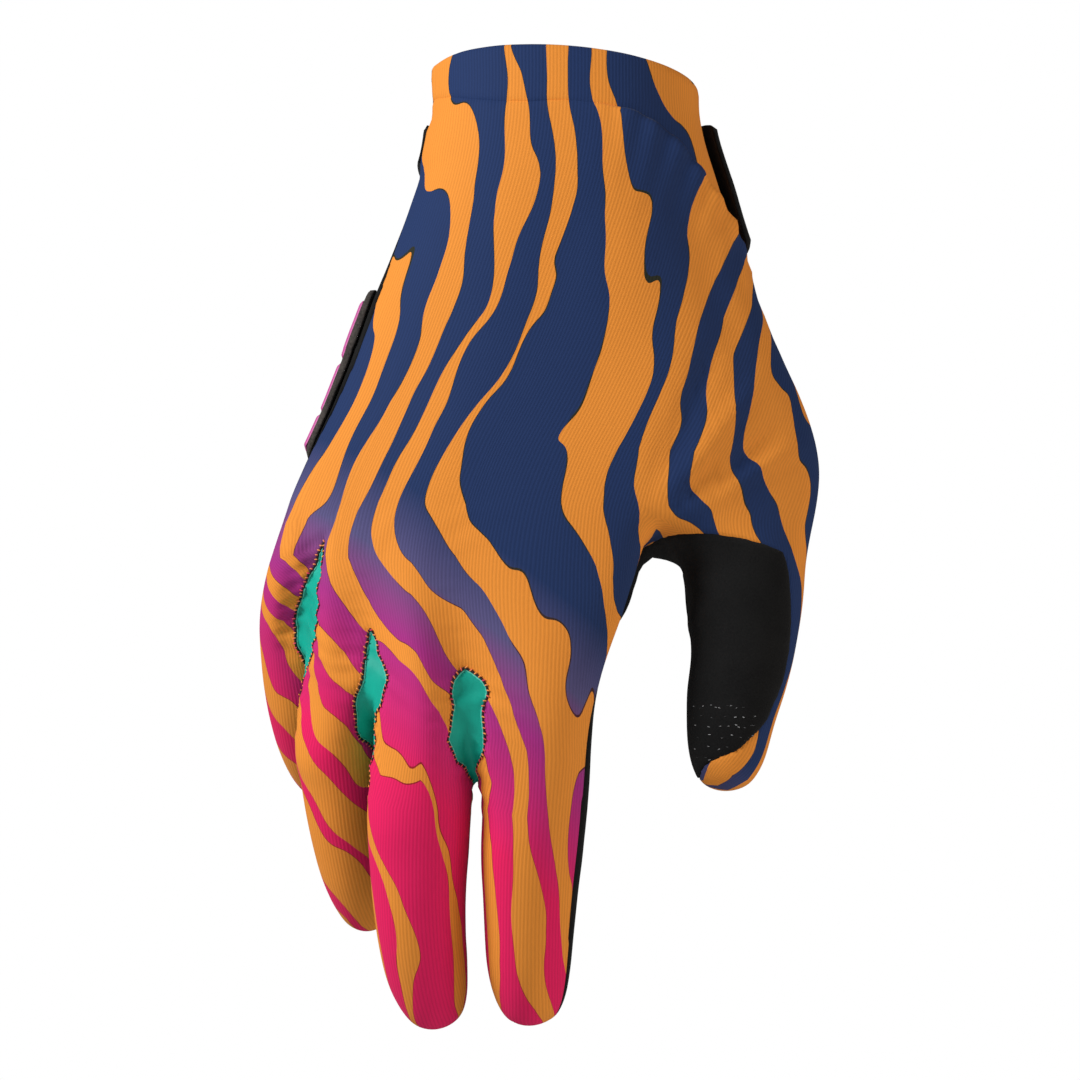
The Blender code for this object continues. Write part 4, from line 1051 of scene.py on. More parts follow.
def stripes(tree):
    """The print's mask: 1 on the orange stripes, and a second output for the line where the dyes overlap."""
    across = add_node(tree, "Attribute", attribute_name="across").outputs["Fac"]
    down = add_node(tree, "Attribute", attribute_name="down").outputs["Fac"]
    flat = add_node(tree, "CombineXYZ", {"X": across, "Y": down})

    def wave(across_mm, down_mm, detail, rough, offset):
        """Noise whose features are about this size across and down the cloth, from -0.5 to 0.5."""
        scaled = add_node(tree, "VectorMath", {0: flat, 1: (1000 / across_mm, 1000 / down_mm, 1)},
                          operation="MULTIPLY")
        moved = add_node(tree, "VectorMath", {0: scaled, 1: (offset, offset * 0.7, offset * 1.3)}, operation="ADD")
        made = add_node(tree, "TexNoise", {"Vector": moved, "Scale": 1, "Detail": detail, "Roughness": rough})
        return add_node(tree, "Math", {0: made, 1: 0.5}, operation="SUBTRACT")

    def total(*terms):
        """Sum of nodes, each with its factor."""
        result = None
        for term, factor in terms:
            if result is None:
                result = add_node(tree, "Math", {0: term, 1: factor}, operation="MULTIPLY")
            else:
                result = add_node(tree, "Math", {0: term, 1: factor, 2: result}, operation="MULTIPLY_ADD")
        return result

    bend = add_node(tree, "Math", {0: down, 1: 1000 / 52.0}, operation="MULTIPLY")
    sway = add_node(tree, "Math", {0: bend}, operation="SINE")
    phase = total(
        (across, 1000 / STRIPE_PITCH),
        (sway, 0.55),
        (down, -1000 / 75.0),
        (wave(55, 90, 0, 0.5, 3.1), 3.4),
        (wave(16, 34, 1, 0.5, 7.7), 0.9),
    )
    part = add_node(tree, "Math", {0: phase}, operation="FRACT")
    width = total((wave(34, 60, 0, 0.5, 12.4), 1.3), (wave(9, 22, 0, 0.5, 5.2), 0.35))
    width = add_node(tree, "Math", {0: width, 1: 0.47}, operation="ADD")
    one_edge = total((wave(12, 20, 1, 0.4, 30.0), 0.16))
    other_edge = total((wave(9, 14, 1, 0.4, 21.0), 0.16))
    low = add_node(tree, "Math", {0: part, 1: one_edge}, operation="SUBTRACT")
    high = add_node(tree, "Math", {0: width, 1: part}, operation="SUBTRACT")
    high = add_node(tree, "Math", {0: high, 1: other_edge}, operation="ADD")
    inside = add_node(tree, "Math", {0: low, 1: high}, operation="MINIMUM")
    mask = add_node(tree, "Math", {0: inside, 1: 0.0}, operation="GREATER_THAN")
    off = add_node(tree, "Math", {0: inside}, operation="ABSOLUTE")
    line = add_node(tree, "Math", {0: off, 1: OVERLAP / 2 / STRIPE_PITCH}, operation="LESS_THAN")
    return mask, line, across, down


def printed_knit():
    """Ribbed polyester knit: soft, nearly matt, with fine grooves between its ribs darkened by painted shade."""
    made, tree, shader = new_material("printed_rib_knit")
    mask, line, across, down = stripes(tree)
    spot = add_node(tree, "TexCoord").outputs["Object"]
    parts = add_node(tree, "SeparateXYZ", {0: spot})
    fade = add_node(tree, "Math", {0: parts.outputs["X"], 1: -FADE_SLOPE}, operation="MULTIPLY")
    fade = add_node(tree, "Math", {0: fade, 1: parts.outputs["Z"]}, operation="SUBTRACT")
    fade = add_node(tree, "MapRange", {"Value": fade, "From Min": FADE_START, "From Max": FADE_END})
    ground = add_node(tree, "ValToRGB", {"Fac": fade})
    ramp = ground.color_ramp
    ramp.elements[0].color = linear(NAVY)
    ramp.elements[1].color = linear(PINK)
    for position, code in ((0.30, SLATE), (0.56, PLUM)):
        ramp.elements.new(position).color = linear(code)
    colour = add_node(tree, "Mix", {"Factor": mask, 6: ground, 7: linear(ORANGE)}, data_type="RGBA")
    overlap = add_node(tree, "ValToRGB", {"Fac": fade})
    overlap.color_ramp.elements[0].color = linear(NAVY_LINE)
    overlap.color_ramp.elements[1].color = linear(PINK_LINE)
    overlap.color_ramp.elements.new(0.5).color = linear(PLUM_LINE)
    lined = add_node(tree, "Mix", {"Factor": line, 6: colour.outputs[2], 7: overlap}, data_type="RGBA")
    groove = add_node(tree, "Math", {0: across, 1: 2 * math.pi * 1000 / RIB_PITCH}, operation="MULTIPLY")
    groove = add_node(tree, "Math", {0: groove}, operation="SINE")
    rib = add_node(tree, "MapRange", {"Value": groove, "From Min": -1.0, "From Max": 1.0})
    # Painted shade: the base colour is darkened to 0.86 in the grooves between the ribs, on top of their bump.
    shade = add_node(tree, "MapRange", {"Value": groove, "From Min": -1.0, "From Max": 0.4, "To Min": 0.86,
                                        "To Max": 1.0})
    ribbed = add_node(tree, "Mix", {"Factor": 1.0, 6: lined.outputs[2], 7: shade}, data_type="RGBA",
                      blend_type="MULTIPLY")
    tree.links.new(ribbed.outputs[2], shader.inputs["Base Color"])
    fine = add_node(tree, "TexNoise", {"Vector": spot, "Scale": 2200, "Detail": 2})
    height = add_node(tree, "Math", {0: fine, 1: 0.45, 2: rib}, operation="MULTIPLY_ADD")
    bump = add_node(tree, "Bump", {"Height": height, "Strength": 0.4, "Distance": 0.1 * MM})
    tree.links.new(bump.outputs[0], shader.inputs["Normal"])
    shader.inputs["Roughness"].default_value = 0.78
    shader.inputs["Specular IOR Level"].default_value = 0.18
    shader.inputs["Sheen Weight"].default_value = 0.03
    shader.inputs["Sheen Roughness"].default_value = 0.5
    return made


def knit_reverse():
    """The unprinted reverse of the knit, on which the dye shows through faintly."""
    made, tree, shader = new_material("knit_reverse")
    spot = add_node(tree, "TexCoord").outputs["Object"]
    grain = add_node(tree, "TexNoise", {"Vector": spot, "Scale": 900, "Detail": 3})
    colour = add_node(tree, "Mix", {"Factor": grain, 6: linear("#A9A8AE"), 7: linear("#D8D6D4")},
                      data_type="RGBA")
    bump = add_node(tree, "Bump", {"Height": grain, "Strength": 0.4, "Distance": 0.1 * MM})
    tree.links.new(colour.outputs[2], shader.inputs["Base Color"])
    tree.links.new(bump.outputs[0], shader.inputs["Normal"])
    shader.inputs["Roughness"].default_value = 0.85
    return made


def faces_of(panel):
    return [f for f in net.faces if f[seams.panel] == panel]


def gathered(v):
    """Lift of the slack knit above the hem, and how much of its edge is rolled."""
    gather = max(v[seams.mark["gather"]], 0.0)
    away = max(v[seams.mark["hem"]], 0.0) * GATHER_LENGTH / MM
    if gather <= 0 or away > 40:
        return 0.0, 0.0
    ridge = 0.55 * (1 - smooth_step(away * MM / GATHER_LENGTH)) + 0.5 * math.exp(-((away / 2.6) ** 2))
    pleat = 0.16 * math.sin(v[seams.mark["across"]] / MM * 2 * math.pi / 6.3) * math.exp(-away / 9)
    return GATHER_RISE * gather * (ridge * 1.4 + pleat * 1.6), smooth_step(gather)


knit = printed_knit()
reverse = knit_reverse()
back = panel_object("knit_back", faces_of(BACK), KNIT_WALL, 0.05 * MM, 0.35 * MM, [knit, reverse], gathered)
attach(back, "root")
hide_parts("back_panel")

# Suede palm
# The palm is synthetic suede, a dense black pile that reflects almost nothing. It wraps onto the back at the heel
# of the hand, and shows there and along the index finger as a dark edge.


def suede(name, dark, light, pile):
    """Synthetic suede: a matt pile of short fibres, with clouds where the pile lies another way."""
    made, tree, shader = new_material(name)
    spot = add_node(tree, "TexCoord").outputs["Object"]
    grain = add_node(tree, "TexNoise", {"Vector": spot, "Scale": 1000 / pile, "Detail": 3, "Roughness": 0.7})
    cloud = add_node(tree, "TexNoise", {"Vector": spot, "Scale": 140, "Detail": 2})
    both = add_node(tree, "Math", {0: cloud, 1: 0.6, 2: grain}, operation="MULTIPLY_ADD")
    level = add_node(tree, "MapRange", {"Value": both, "From Min": 0.55, "From Max": 1.1})
    colour = add_node(tree, "Mix", {"Factor": level, 6: linear(dark), 7: linear(light)}, data_type="RGBA")
    bump = add_node(tree, "Bump", {"Height": both, "Strength": 0.7, "Distance": 0.2 * MM})
    tree.links.new(colour.outputs[2], shader.inputs["Base Color"])
    tree.links.new(bump.outputs[0], shader.inputs["Normal"])
    shader.inputs["Roughness"].default_value = 0.95
    shader.inputs["Specular IOR Level"].default_value = 0.2
    shader.inputs["Sheen Weight"].default_value = 0.05
    return made


black_suede = suede("black_suede", "#0A0A0B", "#191919", 0.45)
suede_reverse = suede("suede_reverse", "#2A2A2C", "#3C3C3E", 0.6)
palm = panel_object("suede_palm", faces_of(PALM), SUEDE_WALL, 0.05 * MM, 0.3 * MM, [black_suede, suede_reverse])
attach(palm, "root")
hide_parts("palm_panel")

# Cuff band
# The knit is turned in at the wrist and sewn down as a double hem, so its inside shows the printed face too. On the
# palm's side the suede runs up to the rim.

cuff = panel_object("knit_cuff", faces_of(HEM), HEM_WALL, 0.05 * MM, 0.18 * MM, [knit, knit, black_suede], None, 0)
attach(cuff, "root")
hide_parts("cuff_band")

# Thumb patch
# A patch of the same suede is sewn over the fork and the inner side of the thumb, where it rubs on the grip.


def proud(v):
    return 0.25 * MM, 0.0


thumb_suede = suede("thumb_suede", "#0A0A0B", "#181818", 0.4)
patch = panel_object("suede_thumb_patch", faces_of(PATCH), SUEDE_WALL, 0.0, 0.3 * MM, [thumb_suede, suede_reverse],
                     proud)
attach(patch, "root")
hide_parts("thumb_patch")

# Finger gussets
# Narrow lenses of smooth stretch cloth let the fingers spread. They lie a little below the knit, and the
# overlocked seam pulls both cloths into small puckers. A dark rod along each seam is painted shadow in its groove.


def stretch_cloth():
    """Fine warp-knit polyester and elastane: smooth, with a faint sheen."""
    made, tree, shader = new_material("stretch_cloth")
    spot = add_node(tree, "TexCoord").outputs["Object"]
    grain = add_node(tree, "TexNoise", {"Vector": spot, "Scale": 1800, "Detail": 2})
    cloud = add_node(tree, "TexNoise", {"Vector": spot, "Scale": 160, "Detail": 2})
    colour = add_node(tree, "Mix", {"Factor": cloud, 6: linear("#009885"), 7: linear("#08BEA6")}, data_type="RGBA")
    bump = add_node(tree, "Bump", {"Height": grain, "Strength": 0.35, "Distance": 0.1 * MM})
    tree.links.new(colour.outputs[2], shader.inputs["Base Color"])
    tree.links.new(bump.outputs[0], shader.inputs["Normal"])
    shader.inputs["Roughness"].default_value = 0.6
    shader.inputs["Specular IOR Level"].default_value = 0.3
    return made


def sunk(v):
    return -0.55 * MM, 0.0


def overlock_thread():
    """Twisted polyester in two dyes, coral and orange, each stitch a small glossy dot."""
    made, tree, shader = new_material("overlock_thread")
    spot = add_node(tree, "TexCoord").outputs["Object"]
    dye = add_node(tree, "TexNoise", {"Vector": spot, "Scale": 420, "Detail": 1})
    level = add_node(tree, "MapRange", {"Value": dye, "From Min": 0.42, "From Max": 0.58})
    colour = add_node(tree, "Mix", {"Factor": level, 6: linear("#E0355A"), 7: linear("#F59A4A")}, data_type="RGBA")
    twist = add_node(tree, "TexNoise", {"Vector": spot, "Scale": 3000, "Detail": 2})
    bump = add_node(tree, "Bump", {"Height": twist, "Strength": 0.5, "Distance": 0.05 * MM})
    tree.links.new(colour.outputs[2], shader.inputs["Base Color"])
    tree.links.new(bump.outputs[0], shader.inputs["Normal"])
    shader.inputs["Roughness"].default_value = 0.55
    return made


def cloth_edge_and_painted_shadow(name, code):
    """A plain matt colour with a fine grain, used for a dyed cloth edge and for painted seam shadow."""
    made, tree, shader = new_material(name)
    spot = add_node(tree, "TexCoord").outputs["Object"]
    grain = add_node(tree, "TexNoise", {"Vector": spot, "Scale": 1500, "Detail": 2})
    bump = add_node(tree, "Bump", {"Height": grain, "Strength": 0.4, "Distance": 0.1 * MM})
    tree.links.new(bump.outputs[0], shader.inputs["Normal"])
    shader.inputs["Base Color"].default_value = linear(code)
    shader.inputs["Roughness"].default_value = 0.8
    return made


def seam_round(panel):
    """The form's own points round a panel, in order, as one closed line."""
    beside = {}
    for edge in net.edges:
        if sum(f[seams.panel] == panel for f in edge.link_faces) == 1:
            for v in edge.verts:
                beside.setdefault(v, []).append(edge.other_vert(v))
    here = start = min(beside, key=lambda v: v.co.z)
    line = [start]
    while beside[here]:
        following = beside[here].pop()
        beside[following].remove(here)
        line.append(following)
        here = following
        if here is start:
            break
    return line


def stepped(line, pitch):
    """Places along a line of the form's points at an even pitch, as far as it lies on the fingers' backs.

    Each place is a point, the form's normal there and the line's direction.
    """
    lengths = [0.0]
    for one, other in zip(line, line[1:]):
        lengths.append(lengths[-1] + (other.co - one.co).length)
    places = []
    for k in range(int(lengths[-1] / pitch)):
        distance = (k + 0.5) * pitch
        i = min(max(int(np.searchsorted(lengths, distance)) - 1, 0), len(line) - 2)
        t = (distance - lengths[i]) / max(lengths[i + 1] - lengths[i], 1e-9)
        one, other = line[i], line[i + 1]
        if one[seams.mark["around"]] > SEAM_END:
            continue
        normal = one.normal.lerp(other.normal, t).normalized()
        places.append((one.co.lerp(other.co, t), normal, (other.co - one.co).normalized()))
    return places


class Rods:
    """Round rods with softened ends, gathered into one mesh: thread, piping, and dark rods of painted seam shadow.
    """

    SIDES = 8

    def __init__(self):
        self.points, self.faces = [], []

    def add(self, points, radii):
        """A rod through these points."""
        first, count = len(self.points), len(points)
        for i, (point, radius) in enumerate(zip(points, radii)):
            run = (points[min(i + 1, count - 1)] - points[max(i - 1, 0)]).normalized()
            side = run.cross(Vector((0.31, -0.83, 0.46))).normalized()
            over = run.cross(side)
            for k in range(self.SIDES):
                angle = 2 * math.pi * k / self.SIDES
                self.points.append(point + (side * math.cos(angle) + over * math.sin(angle)) * radius)
        for i in range(count - 1):
            one, other = first + i * self.SIDES, first + (i + 1) * self.SIDES
            for k in range(self.SIDES):
                turn = (k + 1) % self.SIDES
                self.faces.append([one + k, one + turn, other + turn, other + k])
        self.faces.append([first + k for k in reversed(range(self.SIDES))])
        self.faces.append([first + (count - 1) * self.SIDES + k for k in range(self.SIDES)])

    def stitch(self, start, stop, radius):
        """A short thread between two points, thinner at its ends."""
        shares = ((0.0, 0.45), (0.14, 0.9), (0.5, 1.0), (0.86, 0.9), (1.0, 0.45))
        self.add([start.lerp(stop, share) for share, _ in shares], [radius * size for _, size in shares])

    def build(self, name, made):
        mesh = bpy.data.meshes.new(name)
        mesh.from_pydata([tuple(p) for p in self.points], [], self.faces)
        mesh.polygons.foreach_set("use_smooth", [True] * len(self.faces))
        mesh.materials.append(made)
        obj = bpy.data.objects.new(name, mesh)
        bpy.context.scene.collection.objects.link(obj)
        return obj


SEAM_END = 0.93
STITCH_PITCH = 1.25 * MM
STITCH_REACH = 0.5 * MM
STITCH_RADIUS = 0.17 * MM
# Radius of the dark rod of painted shadow along each gusset seam.
SHADOW_ROD_RADIUS = 0.28 * MM

teal = stretch_cloth()
rim_teal = cloth_edge_and_painted_shadow("gusset_edge_cloth", "#5FC9B4")
# Painted shadow: a near-black rod laid in each gusset seam stands in for the shade in its groove.
painted_shadow_material = cloth_edge_and_painted_shadow("seam_shadow_cloth", "#241418")
coral = overlock_thread()
for i, gap in enumerate(GAPS):
    gusset = panel_object(f"gusset_{gap.name}_cloth", faces_of(GUSSET + i), GUSSET_WALL, 0.05 * MM, 0.1 * MM,
                          [teal, teal], sunk)
    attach(gusset, "root")
    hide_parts(f"gusset_{gap.name}")
    line = seam_round(GUSSET + i)
    middle = sum((v.co for v in line), Vector()) / len(line)
    groove, rim, thread = Rods(), Rods(), Rods()
    ring, edge = [], []
    for point, normal, run in stepped(line, 0.6 * MM):
        away = normal.cross(run)
        away = away if away.dot(point - middle) > 0 else -away
        ring.append(point - normal * 0.3 * MM)
        edge.append(point - away * 0.42 * MM - normal * 0.52 * MM)
    # The groove rod is painted shadow: a dark rod along the seam in place of the shade there.
    groove.add(ring, [SHADOW_ROD_RADIUS] * len(ring))
    wobble = [0.2 * MM * (1 + 0.35 * math.sin(2 * math.pi * k * 0.6 * MM / STITCH_PITCH)) for k in range(len(edge))]
    rim.add(edge, wobble)
    for point, normal, run in stepped(line, STITCH_PITCH):
        away = normal.cross(run)
        away = away if away.dot(point - middle) > 0 else -away
        slant = run * 0.15 * MM
        thread.stitch(point + away * STITCH_REACH + normal * 0.02 * MM + slant,
                      point - away * STITCH_REACH * 0.5 - normal * 0.12 * MM - slant, STITCH_RADIUS)
    # Each gusset's groove piece is painted shadow, its rim is piping and its thread is the overlock stitches.
    for kind, rods, made in (("groove", groove, painted_shadow_material), ("rim", rim, rim_teal), ("thread", thread, coral)):
        seam = rods.build(f"gusset_{gap.name}_{kind}", made)
        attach(seam, "root")
        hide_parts(f"gusset_{gap.name}")


# Thumb stitching
# Short grey threads of twisted polyester are worked in rows across the thumb's patch near its end.

ThreadRow = namedtuple("ThreadRow", "drop left right")
THREAD_ROWS = (
    ThreadRow(142.0, 28.5, 40.5),
    ThreadRow(144.3, 28.0, 43.5),
    ThreadRow(146.4, 28.0, 44.0),
    ThreadRow(148.6, 28.5, 43.0),
    ThreadRow(151.2, 29.0, 41.5),
    ThreadRow(153.6, 29.5, 39.0),
)
ROW_PITCH = 1.15 * MM
THREAD_LENGTH = 0.55 * MM
THREAD_RADIUS = 0.08 * MM
THREAD_LIFT = 0.3 * MM
VIEW_TILT = -19.0


def plain_thread(name, dark, light):
    """Twisted thread in two near shades, dull, so that single threads catch the eye only here and there."""
    made, tree, shader = new_material(name)
    spot = add_node(tree, "TexCoord").outputs["Object"]
    shade = add_node(tree, "TexNoise", {"Vector": spot, "Scale": 700, "Detail": 2})
    level = add_node(tree, "MapRange", {"Value": shade, "From Min": 0.45, "From Max": 0.6})
    colour = add_node(tree, "Mix", {"Factor": level, 6: linear(dark), 7: linear(light)}, data_type="RGBA")
    tree.links.new(colour.outputs[2], shader.inputs["Base Color"])
    shader.inputs["Roughness"].default_value = 0.6
    return made


def seen_point(tree, across, up):
    """The form behind a place of the front view: point, normal and face index, or None off the form."""
    tilt = math.radians(VIEW_TILT)
    upward = Vector((0, math.sin(tilt), math.cos(tilt)))
    towards = Vector((0, -math.cos(tilt), math.sin(tilt)))
    point, normal, index, _ = tree.ray_cast(Vector((across, 0, 0)) + upward * up + towards * 0.5, -towards)
    return point, normal, index


net.faces.ensure_lookup_table()
form = BVHTree.FromBMesh(net)
worked = Rods()
for k, row in enumerate(THREAD_ROWS):
    for step in range(int((row.right - row.left) * MM / ROW_PITCH)):
        across = row.left * MM + (step + 0.5 + 0.3 * math.sin(step * 2.3 + k)) * ROW_PITCH
        up = -(row.drop + 0.35 * math.sin(step * 1.7 + 2 * k)) * MM
        point, normal, index = seen_point(form, across, up)
        if index is None or net.faces[index][seams.panel] != PATCH or math.sin(step * 3.1 + k * 1.9) < -0.35:
            continue
        slant = 0.4 * math.sin(step + k)
        run = Vector((math.cos(slant), 0, math.sin(slant))) * THREAD_LENGTH / 2
        worked.stitch(point - run + normal * THREAD_LIFT, point + run + normal * THREAD_LIFT, THREAD_RADIUS)
rows = worked.build("thumb_thread_rows", plain_thread("grey_thread", "#2A2A2C", "#B9B9BC"))
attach(rows, "root")
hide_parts("thumb_patch")

# Heel pad
# A pad of grey suede over thin foam is stitched to the heel of the hand, with three raised rubber bars on it.

class Surface:
    """The outside of the skin round the wrist and palm, found by looking in towards its middle."""

    REACH = 0.2

    def __init__(self, net):
        self.tree = BVHTree.FromBMesh(net)

    def point(self, degrees, z):
        """Degrees run from the thumb's side at 0 over the palm at 90 to the little finger's side at 180."""
        angle = math.radians(degrees)
        out = Vector((math.cos(angle), math.sin(angle), 0))
        start = Vector((0, 0, z)) + out * self.REACH
        return self.tree.ray_cast(start, -out)[0]

    def arc(self, z, start, stop, steps=60):
        """Points round the palm from one angle to another, with their distances along the skin."""
        points = [self.point(start + (stop - start) * i / steps, z) for i in range(steps + 1)]
        lengths = [0.0]
        for one, other in zip(points, points[1:]):
            lengths.append(lengths[-1] + (other - one).length)
        return points, lengths

    def along_arc(self, arc, distance):
        points, lengths = arc
        i = min(max(int(np.searchsorted(lengths, distance)) - 1, 0), len(points) - 2)
        t = (distance - lengths[i]) / (lengths[i + 1] - lengths[i])
        return points[i].lerp(points[i + 1], t)



def widest(arc):
    """Distance along an arc to its outermost place on the little finger's side."""
    points, lengths = arc
    i = min(range(1, len(points) - 1), key=lambda k: points[k].x)
    curve = np.polyfit(lengths[max(i - 6, 0) : i + 7], [p.x for p in points[max(i - 6, 0) : i + 7]], 2)
    return float(-curve[1] / (2 * curve[0]))


surface = Surface(net)
PAD_STEPS, PAD_ACROSS = 48, 28


def pad_grid(top, bottom, width_at, start_at, rows, columns):
    """Grid of points over the little-finger side of the palm, from z top to bottom."""
    grid = []
    for i in range(rows):
        place = i / (rows - 1)
        z = top + (bottom - top) * place
        arc = surface.arc(z, 200, 110)
        start, width = widest(arc) - start_at(place), width_at(place)
        grid.append([surface.along_arc(arc, start + width * j / (columns - 1)) for j in range(columns)])
    return grid


def padded_sheet(name, grid, clear, wall, made, edge=0.08, crown=None):
    """A closed sheet over a grid of points on the form, whose outside falls to its edge in a round."""
    rows, columns = len(grid), len(grid[0])
    points = []
    for i in range(rows):
        for j in range(columns):
            down = grid[min(i + 1, rows - 1)][j] - grid[max(i - 1, 0)][j]
            side = grid[i][min(j + 1, columns - 1)] - grid[i][max(j - 1, 0)]
            normal = down.cross(side).normalized()
            if normal.dot(Vector((grid[i][j].x, grid[i][j].y, 0))) < 0:
                normal.negate()
            u, w = i / (rows - 1), j / (columns - 1)
            near = min(u, 1 - u, w * 1.6, (1 - w) * 1.6) / edge
            rise = math.sqrt(max(0.0, 1 - (1 - min(near, 1.0)) ** 2))
            lift = clear(u, w) if callable(clear) else clear
            extra = crown(u, w) if crown else 0.0
            inner = grid[i][j] + normal * lift
            points += [inner + normal * (wall * (0.25 + 0.75 * rise) + extra * rise), inner]
    faces = []

    def at(i, j):
        return 2 * (i * columns + j)

    for i in range(rows - 1):
        for j in range(columns - 1):
            corners = [at(i, j), at(i + 1, j), at(i + 1, j + 1), at(i, j + 1)]
            faces += [corners, [k + 1 for k in reversed(corners)]]
    border = [at(i, 0) for i in range(rows)] + [at(rows - 1, j) for j in range(1, columns)]
    border += [at(i, columns - 1) for i in range(rows - 2, -1, -1)] + [at(0, j) for j in range(columns - 2, 0, -1)]
    for a, b in zip(border, border[1:] + border[:1]):
        faces.append([b, a, a + 1, b + 1])
    mesh = bpy.data.meshes.new(name)
    mesh.from_pydata([tuple(p) for p in points], [], faces)
    shell = bmesh.new()
    shell.from_mesh(mesh)
    bmesh.ops.recalc_face_normals(shell, faces=shell.faces)
    for face in shell.faces:
        face.smooth = True
    shell.to_mesh(mesh)
    mesh.materials.append(made)
    obj = bpy.data.objects.new(name, mesh)
    bpy.context.scene.collection.objects.link(obj)
    return obj


pad_top, pad_bottom = -PAD_DROP + PAD_LENGTH / 2, -PAD_DROP - PAD_LENGTH / 2


def pad_width(place):
    return PAD_WIDTH * (0.3 + 0.7 * (1 - abs(2 * place - 1) ** 3) ** 0.5)


def pad_edge(place):
    return PAD_EDGE * (1 - abs(2 * place - 1) ** 3) ** 0.5


grey_suede = suede("grey_suede", "#242120", "#544E4A", 0.6)
pad = padded_sheet("heel_pad_suede", pad_grid(pad_top, pad_bottom, pad_width, pad_edge, PAD_STEPS, PAD_ACROSS),
                   PAD_CLEAR, PAD_WALL, grey_suede)
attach(pad, "root")
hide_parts("heel_pad")


def printed_rubber():
    """Silicone print, laid on thick: smooth, satin and slightly uneven."""
    made, tree, shader = new_material("silicone_print")
    spot = add_node(tree, "TexCoord").outputs["Object"]
    cloud = add_node(tree, "TexNoise", {"Vector": spot, "Scale": 500, "Detail": 2})
    colour = add_node(tree, "Mix", {"Factor": cloud, 6: linear("#B53C8C"), 7: linear("#D966AC")}, data_type="RGBA")
    bump = add_node(tree, "Bump", {"Height": cloud, "Strength": 0.3, "Distance": 0.1 * MM})
    tree.links.new(colour.outputs[2], shader.inputs["Base Color"])
    tree.links.new(bump.outputs[0], shader.inputs["Normal"])
    shader.inputs["Roughness"].default_value = 0.45
    return made


rubber = printed_rubber()
for i, bar in enumerate(BARS):
    start = pad_top - PAD_LENGTH * bar.start
    stop = start - PAD_LENGTH * bar.length
    grid = pad_grid(start, stop, lambda place: BAR_WIDTH, lambda place: 1.6 * MM, 24, 12)
    raised = padded_sheet(f"rubber_bar_{i + 1}", grid, PAD_CLEAR + PAD_WALL + PIECE_CLEAR * 0.5, BAR_WALL, rubber)
    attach(raised, "root")
    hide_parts(f"grip_bar_{i + 1}")

# Wrist strap
# The closing tab is black webbing-backed suede with a moulded end. It lies across the palm's side of the wrist and
# its free corner stands off a little at the thumb's side.


def strap_grid(rows, columns):
    grid = []
    for i in range(rows):
        line = []
        for j in range(columns):
            round_place = j / (columns - 1)
            corner = max(0.0, (round_place - 0.9) / 0.1)
            tall = (STRAP_ROOT + (STRAP_WIDTH - STRAP_ROOT) * smooth_step(round_place * 1.3)) / 2
            tall -= STRAP_CORNER * (1 - math.sqrt(max(0.0, 1 - corner**2)))
            centre = -STRAP_DROP + (0.5 - round_place) * STRAP_SLOPE
            z = centre + tall * (1 - 2 * i / (rows - 1))
            line.append(surface.point(STRAP_START + (STRAP_STOP - STRAP_START) * round_place, z))
        grid.append(line)
    return grid


strap_suede = suede("strap_webbing", "#0C0C0D", "#1C1C1E", 0.7)
strap = padded_sheet("strap_tab", strap_grid(30, 110),
                     lambda u, w: PIECE_CLEAR + STRAP_LIFT * smooth_step((w - 0.6) / 0.4), STRAP_WALL, strap_suede)
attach(strap, "root")
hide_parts("wrist_strap")

# Studio
# The glove is seen from a little below, in front of a white ground, with one large soft light at the upper left and
# a weaker one low on the right, which lifts the thumb's side out of the shade.

CAMERA_TILT = -19.0
CAMERA_DISTANCE = 1.6
FRAME_WIDTH = 248.4 * MM
FRAME_RIGHT, FRAME_UP = -5.75 * MM, -104.65 * MM

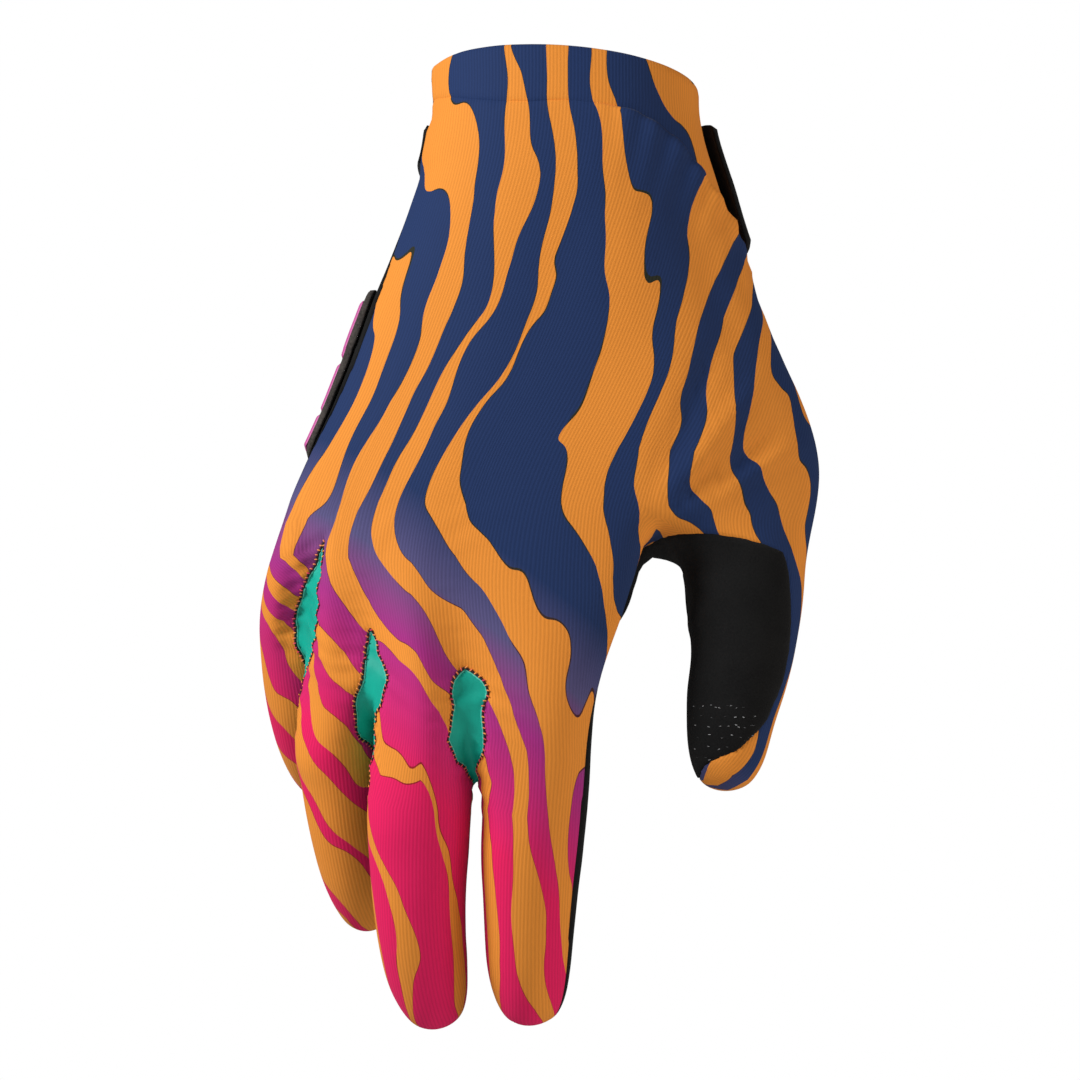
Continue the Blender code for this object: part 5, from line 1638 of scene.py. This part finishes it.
tilt = math.radians(CAMERA_TILT)
view_up = Vector((0, math.sin(tilt), math.cos(tilt)))
towards = Vector((0, -math.cos(tilt), math.sin(tilt)))
target = Vector((FRAME_RIGHT, 0, 0)) + view_up * FRAME_UP
lens = bpy.data.cameras.new("camera")
lens.sensor_width = 36
lens.lens = 36 * CAMERA_DISTANCE / FRAME_WIDTH
camera = bpy.data.objects.new("camera", lens)
bpy.context.scene.collection.objects.link(camera)
camera.location = target + towards * CAMERA_DISTANCE
camera.rotation_euler = towards.to_track_quat("Z", "Y").to_euler()
bpy.context.scene.camera = camera


def area_light(name, place, size, power, colour):
    data = bpy.data.lights.new(name, "AREA")
    data.size = size
    data.energy = power
    data.color = linear(colour)[:3]
    lamp = bpy.data.objects.new(name, data)
    bpy.context.scene.collection.objects.link(lamp)
    lamp.location = place
    lamp.rotation_euler = (Vector(place) - Vector((0, 0, -0.1))).to_track_quat("Z", "Y").to_euler()


area_light("key_light", (-1.25, -0.85, 0.5), 0.5, 27, "#FFFFFF")
area_light("front_fill", (0.1, -1.8, -0.3), 1.0, 1.2, "#FFFFFF")
area_light("right_fill", (1.5, -0.5, -0.15), 0.8, 11, "#FFF6EC")

world = bpy.data.worlds.new("studio")
bpy.context.scene.world = world
world.use_nodes = True
world.node_tree.nodes.clear()
seen = add_node(world.node_tree, "LightPath").outputs["Is Camera Ray"]
soft = add_node(world.node_tree, "Background", {"Color": linear("#F4F6FA"), "Strength": 0.08})
white = add_node(world.node_tree, "Background", {"Color": (1, 1, 1, 1), "Strength": 1.0})
mixed = add_node(world.node_tree, "MixShader", {0: seen, 1: soft, 2: white})
add_node(world.node_tree, "OutputWorld", {"Surface": mixed})
bpy.context.scene.view_settings.view_transform = "Standard"

FLOOR_DROP = 0.95
FLOOR_WIDTH = 6.0
floor_mesh = bpy.data.meshes.new("floor")
half = FLOOR_WIDTH / 2
floor_mesh.from_pydata([(-half, -half, -FLOOR_DROP), (half, -half, -FLOOR_DROP), (half, half, -FLOOR_DROP),
                        (-half, half, -FLOOR_DROP)], [], [[0, 1, 2, 3]])
floor = bpy.data.objects.new("floor", floor_mesh)
bpy.context.scene.collection.objects.link(floor)
paper, paper_tree, paper_shader = new_material("studio_paper")
paper_shader.inputs["Base Color"].default_value = linear("#F2F2F0")
paper_shader.inputs["Roughness"].default_value = 0.9
floor_mesh.materials.append(paper)
